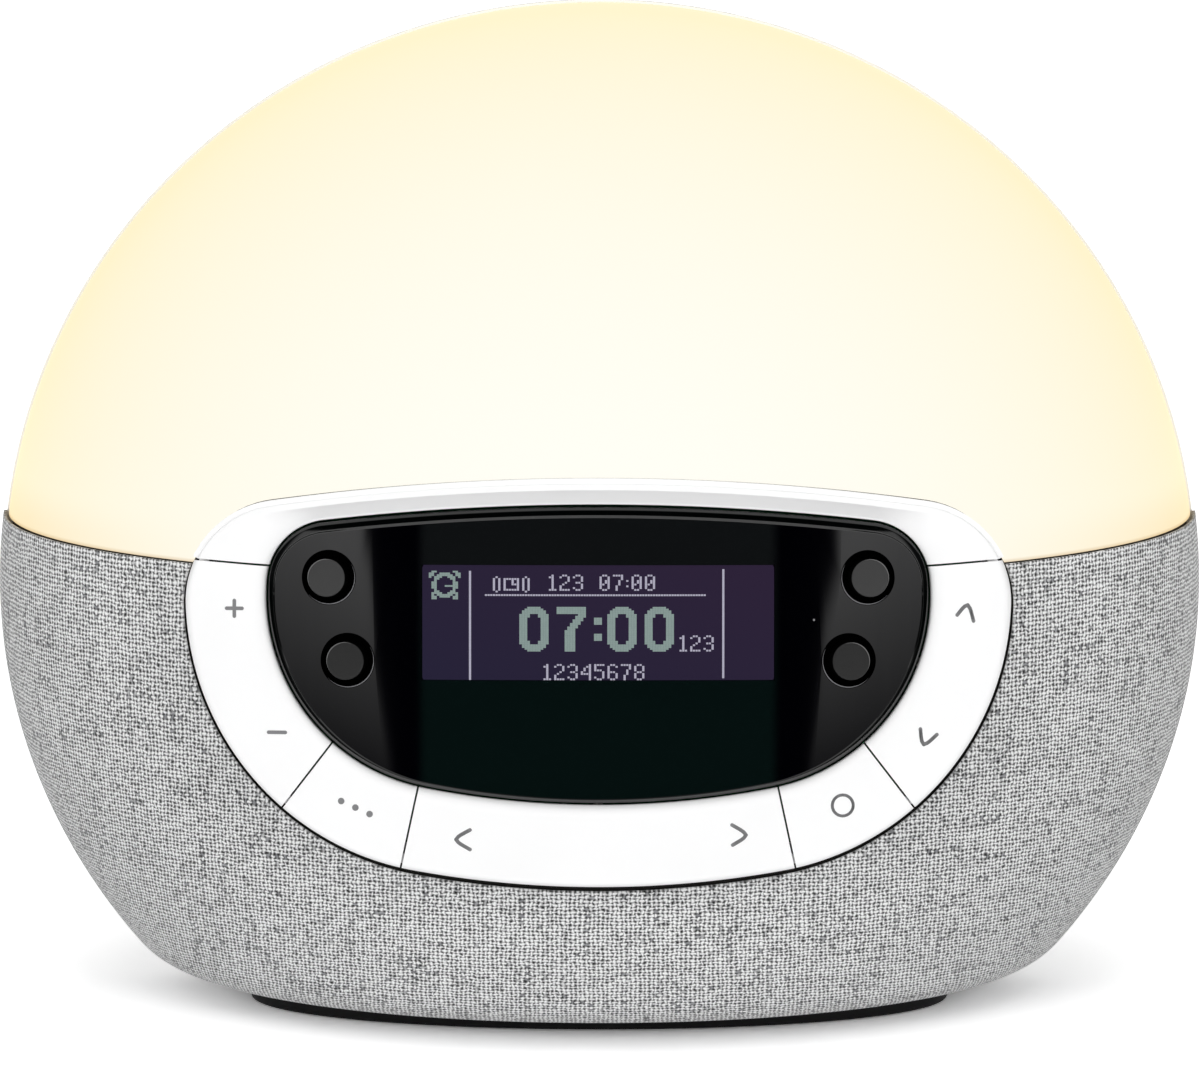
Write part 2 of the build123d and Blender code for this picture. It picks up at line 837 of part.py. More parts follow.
def side_pads(side):
    # posts from the frame's floor up to one leaning switch board
    reach = (side_board_height - post_width) / 2
    with BuildPart() as pads:
        with BuildSketch(panel_plane.offset(frame_floor)):
            with Locations((side * button_column, button_level)):
                with Locations((0, reach), (0, -reach)):
                    Circle(post_width / 2)
        extrude(amount=side_board_back)
        split(bisect_by=button_plane(side).offset(-side_board_back), keep=Keep.BOTTOM)
    return pads.part


with BuildPart() as inner_frame:
    with BuildSketch(panel_plane.offset(-main_board_front)):
        add(fascia_face(-frame_inset))
    extrude(amount=main_board_front)
    with BuildSketch(panel_plane.offset(frame_floor)):
        add(fascia_face(-frame_inset - frame_wall))
    extrude(amount=main_board_front, mode=Mode.SUBTRACT)
    add(bent_slab(fascia_back, deep), mode=Mode.INTERSECT)
    with BuildSketch(panel_plane.offset(frame_floor)):
        with Locations((0, display_level)):
            with GridLocations(display_width, display_height - post_width, 2, 2):
                Circle(post_width / 2)
    extrude(amount=-frame_floor - module_back)
    add(side_pads(-1))
    add(side_pads(1))
    add(pin_holes.part, mode=Mode.SUBTRACT)
finish(inner_frame.part, "inner_frame")

# --- Light chamber ---

with BuildPart() as light_tray:
    add(front_form(tray_inset))
    split(bisect_by=depth_plane(tray_back), keep=Keep.BOTTOM)
    split(bisect_by=Plane.XY.offset(body_level + tray_foot_level), keep=Keep.TOP)
    with BuildSketch(depth_plane(tray_back - tray_wall)):
        with Locations((0, tray_foot_level + tray_wall)):
            Rectangle(far, far, align=(Align.CENTER, Align.MIN))
    extrude(amount=-far, mode=Mode.SUBTRACT)
    with BuildSketch(depth_plane(tray_back - shelf_depth)):
        Rectangle(far, far)
    extrude(amount=-far, mode=Mode.SUBTRACT)
    with BuildSketch(depth_plane(tray_back)):
        with Locations(upper_boss_spots):
            Circle(boss_width / 2)
    extrude(amount=-tray_back)
    with BuildSketch(depth_plane(tray_back - tray_wall)):
        with Locations(upper_boss_spots):
            Circle(screw_width / 2)
        with Locations((0, led_board_level)):
            with GridLocations(led_screw_spread[0], led_screw_spread[1], 2, 2):
                Circle(screw_width / 2)
    extrude(amount=tray_wall - tray_back, mode=Mode.SUBTRACT)
finish(light_tray.part, "light_tray")

with BuildPart() as led_heat_spreader:
    with BuildSketch(depth_plane(tray_back)):
        with Locations((0, led_board_level)):
            Rectangle(led_board_width, led_board_height)
            with GridLocations(led_screw_spread[0], led_screw_spread[1], 2, 2):
                Circle(screw_width / 2, mode=Mode.SUBTRACT)
    extrude(amount=spreader_thickness)
finish(led_heat_spreader.part, "led_heat_spreader")

tray_front = tray_back - tray_wall
led_board_front = tray_front - board_thickness

with BuildPart() as led_board:
    with BuildSketch(depth_plane(led_board_front)):
        with Locations((0, led_board_level)):
            Rectangle(led_board_width, led_board_height)
            with GridLocations(led_screw_spread[0], led_screw_spread[1], 2, 2):
                Circle(screw_width / 2, mode=Mode.SUBTRACT)
    extrude(amount=board_thickness)
finish(led_board.part, "led_board")

with BuildPart() as leds:
    with BuildSketch(depth_plane(led_board_front)):
        with Locations((0, led_board_level)):
            with GridLocations(led_spacing, led_spacing, led_columns, led_rows):
                Rectangle(led_size, led_size)
    extrude(amount=-led_height)
finish(leds.part, "leds")

led_screw_seat = Plane(
    origin=(0, seam_y + led_board_front, body_level + led_board_level),
    x_dir=(1, 0, 0),
    z_dir=(0, -1, 0),
)
led_screw_spots = [
    (x * led_screw_spread[0] / 2, y * led_screw_spread[1] / 2) for x in (-1, 1) for y in (-1, 1)
]
led_board_screws = screws(led_screw_seat, led_screw_spots, board_thickness + tray_wall + spreader_thickness)
finish(led_board_screws, "led_board_screws")


def flared_frame(margin):
    with BuildPart() as frame:
        for depth, flare in ((0, 0), (reflector_depth, reflector_flare)):
            with BuildSketch(depth_plane(tray_front - depth)):
                with Locations((0, led_board_level)):
                    Rectangle(
                        led_board_width + 2 * (margin + flare),
                        led_board_height + 2 * (margin + flare),
                    )
        loft()
    return frame.part


with BuildPart() as reflector:
    add(flared_frame(reflector_gap + reflector_wall))
    add(flared_frame(reflector_gap), mode=Mode.SUBTRACT)
finish(reflector.part, "reflector")

# --- Loudspeaker ---

speaker_spot = (0, speaker_level)
gasket_front = speaker_back - speaker_gasket_height
flange_front = gasket_front - flange_thickness
basket_front = flange_front - basket_depth

with BuildPart() as speaker_gasket:
    with BuildSketch(depth_plane(gasket_front)):
        with Locations(speaker_spot):
            Circle(speaker_width / 2)
            Circle(seat_bore / 2, mode=Mode.SUBTRACT)
            with PolarLocations(speaker_screw_circle / 2, 4, start_angle=45):
                Circle(screw_width / 2, mode=Mode.SUBTRACT)
    extrude(amount=speaker_gasket_height)
finish(speaker_gasket.part, "speaker_gasket")


def turned_on_speaker_axis(points):
    # a closed outline given as radius and distance behind the seam, turned into a solid
    with BuildPart() as turned:
        with BuildSketch(Plane(origin=(0, seam_y, body_level + speaker_level), z_dir=(0, 0, 1))):
            with BuildLine():
                Polyline(points, close=True)
            make_face()
        revolve(axis=Axis((0, seam_y, body_level + speaker_level), (0, 1, 0)))
    return turned.part


with BuildPart() as speaker_frame:
    add(turned_on_speaker_axis([
        (seat_bore / 2, gasket_front),
        (speaker_width / 2, gasket_front),
        (speaker_width / 2, flange_front),
        (seat_bore / 2, flange_front),
        (basket_throat / 2, basket_front),
        (cone_throat / 2, basket_front),
        (cone_throat / 2, basket_front + flange_thickness),
        (basket_throat / 2 - basket_wall, basket_front + flange_thickness),
        (seat_bore / 2 - basket_wall, flange_front),
    ]))
    with BuildSketch(depth_plane(flange_front)):
        with Locations(speaker_spot):
            with PolarLocations(speaker_screw_circle / 2, 4, start_angle=45):
                Circle(screw_width / 2)
    extrude(amount=flange_thickness, mode=Mode.SUBTRACT)
finish(speaker_frame.part, "speaker_frame")

cone_back = basket_front + flange_thickness + retaining_gap

with BuildPart() as speaker_cone:
    add(turned_on_speaker_axis([
        (0, cone_back),
        (cone_throat / 2, cone_back),
        (cone_width / 2, flange_front + cone_wall),
        (seat_bore / 2, gasket_front),
        (seat_bore / 2 - cone_wall, gasket_front + cone_wall),
        (cone_width / 2 - cone_wall, flange_front + 2 * cone_wall),
        (cone_throat / 2 - cone_wall, cone_back + 2 * cone_wall),
        (0, cone_back + 2 * cone_wall),
    ]))
finish(speaker_cone.part, "speaker_cone")

with BuildPart() as speaker_magnet:
    with BuildSketch(depth_plane(basket_front)):
        with Locations(speaker_spot):
            Circle(magnet_width / 2)
    extrude(amount=-magnet_depth)
finish(speaker_magnet.part, "speaker_magnet")

speaker_seat = Plane(
    origin=(0, seam_y + flange_front, body_level + speaker_level), x_dir=(1, 0, 0), z_dir=(0, -1, 0),
)
speaker_screw_spots = [
    (loc.position.X, loc.position.Y)
    for loc in PolarLocations(speaker_screw_circle / 2, 4, start_angle=45)
]
speaker_screws = screws(speaker_seat, speaker_screw_spots, boss_depth)
finish(speaker_screws, "speaker_screws")

# --- Rear inlets ---

jack_face = bay_face + lip_wall

with BuildPart() as dc_jack:
    with BuildSketch(depth_plane(bay_face)):
        with Locations(jack_spot):
            Circle(jack_flange / 2)
    extrude(amount=lip_wall)
    with BuildSketch(depth_plane(bay_face)):
        with Locations(jack_spot):
            Circle(jack_barrel / 2)
    extrude(amount=-jack_length)
    with BuildSketch(depth_plane(jack_face)):
        with Locations(jack_spot):
            Circle(jack_bore / 2)
    extrude(amount=-jack_depth, mode=Mode.SUBTRACT)
    with BuildSketch(depth_plane(jack_face)):
        with Locations(jack_spot):
            Circle(jack_pin_root / 2 + pin_fit / 2)
    extrude(amount=-far, mode=Mode.SUBTRACT)
finish(dc_jack.part, "dc_jack")

with BuildPart() as dc_jack_pin:
    with BuildSketch(depth_plane(jack_face - jack_depth)):
        with Locations(jack_spot):
            Circle(jack_pin / 2)
    extrude(amount=jack_depth - lip_wall)
    with BuildSketch(depth_plane(jack_face - jack_depth)):
        with Locations(jack_spot):
            Circle(jack_pin_root / 2)
    extrude(amount=-jack_root)
finish(dc_jack_pin.part, "dc_jack_pin")

with BuildPart() as jack_nut:
    with BuildSketch(depth_plane(bay_face - bay_wall)):
        with Locations(jack_spot):
            RegularPolygon(jack_flange / 2, 6)
            Circle(jack_barrel / 2 + pin_fit / 2, mode=Mode.SUBTRACT)
    extrude(amount=-screw_head_height)
finish(jack_nut.part, "jack_nut")

with BuildPart() as antenna_grommet:
    with BuildSketch(depth_plane(bay_face)):
        with Locations(grommet_spot):
            Circle(grommet_flange / 2)
    extrude(amount=lip_wall)
    with BuildSketch(depth_plane(bay_face)):
        with Locations(grommet_spot):
            Circle(grommet_width / 2 - pin_fit / 2)
    extrude(amount=-bay_wall)
    with BuildSketch(depth_plane(bay_face - bay_wall)):
        with Locations(grommet_spot):
            Circle(grommet_flange / 2)
    extrude(amount=-lip_wall)
    with BuildSketch(depth_plane(bay_face + lip_wall)):
        with Locations(grommet_spot):
            Circle(grille_hole / 2)
    extrude(amount=-far, mode=Mode.SUBTRACT)
finish(antenna_grommet.part, "antenna_grommet")
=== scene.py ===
import bpy
import numpy as np
from functools import partial
from math import pi, radians
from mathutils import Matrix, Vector


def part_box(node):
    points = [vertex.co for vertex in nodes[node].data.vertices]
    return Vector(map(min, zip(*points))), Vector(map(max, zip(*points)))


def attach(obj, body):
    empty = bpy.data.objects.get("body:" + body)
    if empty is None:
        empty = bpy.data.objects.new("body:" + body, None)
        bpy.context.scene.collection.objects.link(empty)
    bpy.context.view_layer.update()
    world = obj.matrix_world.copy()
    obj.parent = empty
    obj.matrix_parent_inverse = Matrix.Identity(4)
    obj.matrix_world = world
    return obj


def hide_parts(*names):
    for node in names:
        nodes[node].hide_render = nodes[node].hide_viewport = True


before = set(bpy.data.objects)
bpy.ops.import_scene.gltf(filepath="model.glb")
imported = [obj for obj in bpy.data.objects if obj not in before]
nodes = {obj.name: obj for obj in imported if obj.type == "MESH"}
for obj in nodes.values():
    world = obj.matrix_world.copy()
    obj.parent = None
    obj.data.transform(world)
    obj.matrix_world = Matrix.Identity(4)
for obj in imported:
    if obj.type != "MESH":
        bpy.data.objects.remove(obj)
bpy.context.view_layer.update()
scene = bpy.context.scene
mm = 0.001

# the body's oval, in millimetres from its widest level and from the seam between its halves
body = dict(halfWidth=105.0, domeRise=102.8, bodyDrop=99.8, undersideDrop=67.5, undersideRound=14.0,
            frontDepth=68.0, bandLevel=12.8)
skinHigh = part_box("fabric_skin")[1]
body["seamY"] = skinHigh.y / mm
body["level"] = skinHigh.z / mm - body["bandLevel"]

# the control panel: a plane leaning back, its front bent about its own upright axis
panel = dict(tilt=radians(8.5), ahead=73.0, drop=7.0, bendRadius=260.0, keyGap=0.4, seamGap=0.3, recess=0.25)
panel["origin"] = np.array([0.0, body["seamY"] - panel["ahead"], body["level"] - panel["drop"]])
panel["side"] = np.array([1.0, 0.0, 0.0])
panel["up"] = np.array([0.0, np.sin(panel["tilt"]), np.cos(panel["tilt"])])
panel["out"] = np.array([0.0, -np.cos(panel["tilt"]), np.sin(panel["tilt"])])
fasciaShape = dict(top=32.9, topRadius=388.0, reach=55.0, sideRadius=32.0, bottom=16.2,
                   bottomRadius=156.0, corner=10.3)
ringShape = dict(top=37.2, topRadius=388.0, reach=69.05, sideRadius=46.05, bottom=30.25,
                 bottomRadius=182.0, corner=16.6)


def srgb(hexColour):
    # each channel from display values to linear light, by the sRGB curve
    channels = np.array([int(hexColour[i:i + 2], 16) / 255 for i in (1, 3, 5)])
    linear = np.where(channels <= 0.04045, channels / 12.92, ((channels + 0.055) / 1.055) ** 2.4)
    return (*linear.tolist(), 1.0)


def addNode(owner, kind, sockets=(), **settings):
    # kind may carry an operation. Sockets are named, or listed in their order; each takes a fixed value, an
    # output to join, or a node, which stands for its first output in use. A map range lists its value, its
    # range and the new range
    tree = owner.node_tree
    kind, *operation = kind.split()
    node = tree.nodes.new("ShaderNode" + kind)
    if operation:
        node.operation = operation[0]
    for name, value in settings.items():
        setattr(node, name, value)
    for key, value in sockets.items() if isinstance(sockets, dict) else enumerate(sockets):
        if isinstance(value, bpy.types.Node):
            value = next(output for output in value.outputs if output.enabled)
        if isinstance(value, bpy.types.NodeSocket):
            tree.links.new(value, node.inputs[key])
        else:
            node.inputs[key].default_value = value
    return node


def newMaterial(name):
    # an empty material, and addNode for its own tree
    material = bpy.data.materials.new(name)
    material.use_nodes = True
    material.node_tree.nodes.clear()
    return material, partial(addNode, material)


def finishMaterial(material, shader):
    addNode(material, "OutputMaterial", {"Surface": shader})
    return material


def makeMesh(name, points, faces, material, bodyName="housing", smoothAngle=35.0):
    # points in metres, faces as one array of quads or a list of polygons
    mesh = bpy.data.meshes.new(name)
    mesh.from_pydata(np.asarray(points).tolist(), [], [list(map(int, face)) for face in faces])
    mesh.update()
    mesh.shade_smooth()
    mesh.set_sharp_from_angle(angle=radians(smoothAngle))
    piece = bpy.data.objects.new(name, mesh)
    scene.collection.objects.link(piece)
    mesh.materials.append(material)
    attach(piece, bodyName)
    return piece


def gridFaces(rows, columns, closed=False):
    # quads between neighbouring rows and columns of a grid of points
    index = np.arange(rows * columns).reshape(rows, columns)
    if closed:
        index = np.vstack([index, index[:1]])
    return np.stack([index[:-1, :-1], index[1:, :-1], index[1:, 1:], index[:-1, 1:]], -1).reshape(-1, 4)


def plateFaces(rows, columns):
    # a front grid, a back grid behind it and the walls that join their borders
    count = rows * columns
    front = gridFaces(rows, columns)
    index = np.arange(count).reshape(rows, columns)
    border = np.concatenate([index[:, 0][::-1], index[0, 1:], index[1:, -1], index[-1, ::-1][1:]])
    walls = np.stack([border[:-1], border[1:], border[1:] + count, border[:-1] + count], -1)
    return np.concatenate([front, front[:, ::-1] + count, walls[:, ::-1]])


def panelPoints(across, up, height):
    # the panel's front is an arc about an upright axis: depth is that arc's, raised by height
    across, up, height = np.broadcast_arrays(across, up, height)
    depth = np.sqrt((panel["bendRadius"] + height) ** 2 - across**2) - panel["bendRadius"]
    places = (panel["origin"] + across[..., None] * panel["side"] + up[..., None] * panel["up"]
              + depth[..., None] * panel["out"])
    return (places * mm).reshape(-1, 3)


def arc(centre, radius, start, end, count):
    # points of a circle from one angle to another
    angle = np.linspace(start, end, count)
    return np.stack([centre[0] + radius * np.cos(angle), centre[1] + radius * np.sin(angle)], -1)


def shieldOutline(shape, grow=0.0, density=160):
    # clockwise from the top centre: top arc, shoulder, side arc and bottom arc, then mirrored
    top, topRadius, reach, sideRadius, bottom, bottomRadius, corner = [
        shape[key] + grow
        for key in ("top", "topRadius", "reach", "sideRadius", "bottom", "bottomRadius", "corner")]
    topCentre = np.array([0.0, top - topRadius])
    bottomCentre = np.array([0.0, bottomRadius - bottom])
    sideX = reach - sideRadius
    sideCentre = np.array([sideX, bottomCentre[1] - np.sqrt((bottomRadius - sideRadius) ** 2 - sideX**2)])
    # the shoulder's centre lies where two smaller circles about the other centres cross
    apart = np.linalg.norm(sideCentre - topCentre)
    along = ((topRadius - corner) ** 2 - (sideRadius - corner) ** 2 + apart**2) / (2 * apart)
    aside = np.sqrt((topRadius - corner) ** 2 - along**2)
    lean = (sideCentre - topCentre) / apart
    shoulder = topCentre + along * lean + aside * np.array([lean[1], -lean[0]])
    headings = [shoulder - topCentre, shoulder - sideCentre, sideCentre - bottomCentre]
    angles = [pi / 2, *(np.arctan2(y, x) for x, y in headings), -pi / 2]
    arcs = [(topCentre, topRadius), (shoulder, corner), (sideCentre, sideRadius),
            (bottomCentre, bottomRadius)]
    right = np.concatenate([arc(centre, radius, start, end, density)[:-1]
                            for (centre, radius), start, end in zip(arcs, angles, angles[1:])])
    return np.concatenate([right, [[0.0, -bottom]], right[1:][::-1] * [-1, 1]])


def turnedOut(along):
    # square to a clockwise line's direction, outwards, one long
    return np.stack([-along[:, 1], along[:, 0]], -1) / np.linalg.norm(along, axis=1)[:, None]


def runningLength(line):
    # how far along a line each of its points is
    return np.concatenate([[0.0], np.cumsum(np.linalg.norm(np.diff(line, axis=0), axis=1))])


def lengthsAlong(outline):
    # running length round a closed outline, from its first point and back to it
    return runningLength(np.vstack([outline, outline[:1]]))


def pointsAt(outline, places):
    # points of a closed outline at given running lengths
    lengths = lengthsAlong(outline)
    closedPoints = np.vstack([outline, outline[:1]])
    places = np.mod(places, lengths[-1])
    return np.stack([np.interp(places, lengths, closedPoints[:, axis]) for axis in (0, 1)], -1)


def rounded(distance, radius):
    # how far a rounded edge has dropped at a distance in from the border
    inside = np.clip(radius - distance, 0, None)
    return radius - np.sqrt(radius**2 - np.minimum(inside, radius) ** 2)


camera = dict(aside=3.6, distance=1178.7, rise=224.9, lookDown=10.41, turn=0.1701, lens=204.3)
cameraData = bpy.data.cameras.new("camera")
cameraData.lens = camera["lens"]
cameraData.sensor_width = 36
cameraData.clip_start, cameraData.clip_end = 0.01, 50
cameraObject = bpy.data.objects.new("camera", cameraData)
cameraObject.location = np.array([camera["aside"], body["seamY"] - camera["distance"],
                                  body["level"] + camera["rise"]]) * mm
cameraObject.rotation_euler = (radians(90 - camera["lookDown"]), 0, radians(camera["turn"]))
scene.collection.objects.link(cameraObject)
scene.camera = cameraObject
scene.view_settings.view_transform = "Standard"

# soft boxes as size, place and energy, each turned to the clock
softBoxes = dict(
    left=dict(size=(0.9, 1.2), place=(-1.2, -1.7, 0.5), energy=15.1),
    right=dict(size=(0.9, 1.2), place=(1.2, -1.7, 0.5), energy=15.1),
    top=dict(size=(1.4, 1.4), place=(0, -0.3, 1.8), energy=3),
)
clockMiddle = Vector((0, 0, 0.08))
for name, box in softBoxes.items():
    light = bpy.data.lights.new(name + "SoftBox", "AREA")
    light.shape = "RECTANGLE"
    light.size, light.size_y = box["size"]
    light.energy = box["energy"]
    lamp = bpy.data.objects.new(name + "SoftBox", light)
    lamp.location = box["place"]
    lamp.rotation_euler = (clockMiddle - Vector(box["place"])).to_track_quat("-Z", "Y").to_euler()
    lamp.visible_glossy = False  # glossy surfaces see the room instead
    scene.collection.objects.link(lamp)


def buildWorld():
    # white to the camera and a plain grey room for soft light; what glossy surfaces see is a bright
    # room with a dark patch straight ahead: its sides part upwards and its light fades to the floor.
    # Directions are in steps: aside for each step ahead, and up for each step of the way
    room = dict(patchSide=(0.200, 0.211), patchLean=1.34, wallRise=(0.0703, 0.1045), wallLight=(0.045, 1.34),
                cornerSide=(0.56, 0.66), cornerLight=(1.0, 0.04), ceilingRise=(0.34, 0.42),
                ceilingLight=(0.0, 1.2), fill=(0.32, 0.66), nearest=0.001)
    world = bpy.data.worlds.new("studio")
    scene.world = world
    world.use_nodes = True
    world.node_tree.nodes.clear()
    add = partial(addNode, world)
    paths = add("LightPath").outputs
    x, y, up = add("SeparateXYZ", [add("TexCoord").outputs["Generated"]]).outputs
    aside = add("Math ABSOLUTE", [x])
    facing = add("Math MULTIPLY", [y, -1.0])
    ahead = add("Math MAXIMUM", [facing, room["nearest"]])
    spread = add("Math DIVIDE", [aside, ahead])
    lean = add("Math MULTIPLY", [up, -room["patchLean"]])
    outside = add("Math ADD", [spread, lean])
    patch = add("MapRange", [outside, *room["patchSide"]])
    fade = add("MapRange", [up, *room["wallRise"], *room["wallLight"]])
    corner = add("MapRange", [spread, *room["cornerSide"], *room["cornerLight"]])
    wide = add("Math MULTIPLY", [patch, corner])
    walls = add("Math MULTIPLY", [wide, fade])
    ceiling = add("MapRange", [up, *room["ceilingRise"], *room["ceilingLight"]])
    light = add("Math MAXIMUM", [walls, ceiling])
    glossy = add("Math MULTIPLY", [light, paths["Is Glossy Ray"]])
    seen = add("Math MAXIMUM", [paths["Is Camera Ray"], paths["Is Transmission Ray"]])
    white = add("Math MAXIMUM", [seen, glossy])
    # the soft light of the room is strongest from straight ahead
    forward = add("Math MAXIMUM", [facing, 0.0])
    level = add("MapRange", [forward, 0.0, 1.0, *room["fill"]])
    fill = add("Math MULTIPLY", [level, paths["Is Diffuse Ray"]])
    strength = add("Math MAXIMUM", [white, fill])
    shade = add("Background", {"Color": (1, 1, 1, 1), "Strength": strength})
    add("OutputWorld", {"Surface": shade})


buildWorld()


def floorMaterial():
    # pale paper sweep: brighter where the camera or a mirror image sees it, so that only the shadow shows,
    # and brighter still beyond the shadow's reach, in metres from the clock
    paper = dict(colour="#e9e9ea", seen=(1.9, 1.9, 1.9, 1.0), shadowReach=(0.09, 0.18), lift=(0.045, 0.55))
    material, add = newMaterial("palePaperSweep")
    place = add("TexCoord").outputs["Object"]
    paths = add("LightPath").outputs
    looked = add("Math MAXIMUM", [paths["Is Camera Ray"], paths["Is Glossy Ray"]])
    tone = add("Mix", {0: looked, 6: srgb(paper["colour"]), 7: paper["seen"]}, data_type="RGBA")
    matt = add("BsdfDiffuse", {"Color": tone})
    away = add("VectorMath LENGTH", [place])
    lift = add("MapRange", [away, *paper["shadowReach"], *paper["lift"]])
    amount = add("Math MULTIPLY", [looked, lift])
    glow = add("Emission", {"Color": (1, 1, 1, 1), "Strength": amount})
    return finishMaterial(material, add("AddShader", [matt, glow]))


floorHalf = 6.0
floorMesh = bpy.data.meshes.new("floor")
floorCorners = [(-floorHalf, -floorHalf, 0), (floorHalf, -floorHalf, 0), (floorHalf, floorHalf, 0),
                (-floorHalf, floorHalf, 0)]
floorMesh.from_pydata(floorCorners, [], [(0, 1, 2, 3)])
floorMesh.materials.append(floorMaterial())
floor = bpy.data.objects.new("floor", floorMesh)
scene.collection.objects.link(floor)
print("stage: camera, light and floor")


def plasticMaterial(name, colour, roughness, grain=0.0, grainSize=0.25, variation=0.03, specular=0.5):
    # moulded plastic: an even colour, slight flow variation in clouds, and a fine grain from the mould that
    # breaks the gloss up a little; cloud and grain sizes and the grain's depth are millimetres
    mould = dict(cloudSize=1 / 0.06, cloudDetail=3.0, grainDetail=2.0, grainDepth=0.05, glossSpread=0.15)
    material, add = newMaterial(name)
    place = add("TexCoord").outputs["Object"]
    clouds = add("TexNoise", {"Vector": place, "Scale": 1 / (mould["cloudSize"] * mm),
                              "Detail": mould["cloudDetail"]})
    tone = add("MapRange", [clouds, 0.0, 1.0, 1 - variation, 1 + variation])
    base = add("VectorMath SCALE", {0: srgb(colour)[:3], "Scale": tone})
    speck = add("TexNoise", {"Vector": place, "Scale": 1 / (grainSize * mm), "Detail": mould["grainDetail"]})
    bump = add("Bump", {"Height": speck, "Strength": grain, "Distance": mould["grainDepth"] * mm})
    gloss = add("MapRange", [speck, 0.0, 1.0, roughness * (1 - mould["glossSpread"]),
                             min(roughness * (1 + mould["glossSpread"]), 1.0)])
    shader = add("BsdfPrincipled", {"Base Color": base, "Roughness": gloss, "Normal": bump,
                                    "Specular IOR Level": specular})
    return finishMaterial(material, shader)


def metalMaterial(name, colour, roughness, brushed=0.25, scratchSize=0.25, scratchLength=5.0):
    # plated or drawn metal: fine upright scratches, sized in millimetres, give the roughness its streaks
    material, add = newMaterial(name)
    place = add("TexCoord").outputs["Object"]
    stretch = add("Mapping", {"Vector": place, "Scale": (1, 1, scratchSize / scratchLength)})
    streaks = add("TexNoise", {"Vector": stretch, "Scale": 1 / (scratchSize * mm), "Detail": 2.0})
    gloss = add("MapRange", [streaks, 0.0, 1.0, roughness * (1 - brushed), roughness * (1 + brushed)])
    shader = add("BsdfPrincipled", {"Base Color": srgb(colour), "Roughness": gloss, "Metallic": 1.0})
    return finishMaterial(material, shader)


def glowingAcrylic():
    # opal acrylic moulding lit from behind: white over the lamps, cream where the wall curves away,
    # amber low down at the sides where the light has travelled furthest, and a brown painted shade along the
    # foot at the seam.
    # Places along the depth are shares of it from the seam, and rises are millimetres over the band
    glow = dict(centre="#fffdf4", edge="#fff1ca", cream=(0.12, 0.94), low="#f3cf8a", lowShare=0.3,
                lowRise=9.0, lowSides=(0.8, 0.3), foot="#c79a4e", seamShadeShare=0.55, seamShadeRise=0.8,
                surface="#1a1810")
    material, add = newMaterial("opalAcrylicLit")
    place = add("TexCoord").outputs["Object"]
    _, y, z = add("SeparateXYZ", [place]).outputs
    cream, sides = [[(body["seamY"] - body["frontDepth"] * share) * mm for share in glow[key]]
                    for key in ("cream", "lowSides")]
    bandZ = (body["level"] + body["bandLevel"]) * mm
    frontDepth = add("MapRange", [y, *cream])
    creamy = add("Mix", {0: frontDepth, 6: srgb(glow["edge"]), 7: srgb(glow["centre"])}, data_type="RGBA")
    lowness = add("MapRange", [z, bandZ + glow["lowRise"] * mm, bandZ, 0.0, glow["lowShare"]],
                  interpolation_type="SMOOTHSTEP")
    sideways = add("MapRange", [y, *sides])
    share = add("Math MULTIPLY", [lowness, sideways])
    tint = add("Mix", {0: share, 6: creamy, 7: srgb(glow["low"])}, data_type="RGBA")
    # painted shade: a brown band along the dome's foot at the seam
    rim = add("MapRange", [z, bandZ + glow["seamShadeRise"] * mm, bandZ, 0.0, glow["seamShadeShare"]])
    seamShaded = add("Mix", {0: rim, 6: tint, 7: srgb(glow["foot"])}, data_type="RGBA")
    shader = add("BsdfPrincipled",
                 {"Emission Color": seamShaded, "Base Color": srgb(glow["surface"]), "Roughness": 0.6,
                  "Specular IOR Level": 0.1, "Emission Strength": 1.0})
    return finishMaterial(material, shader)


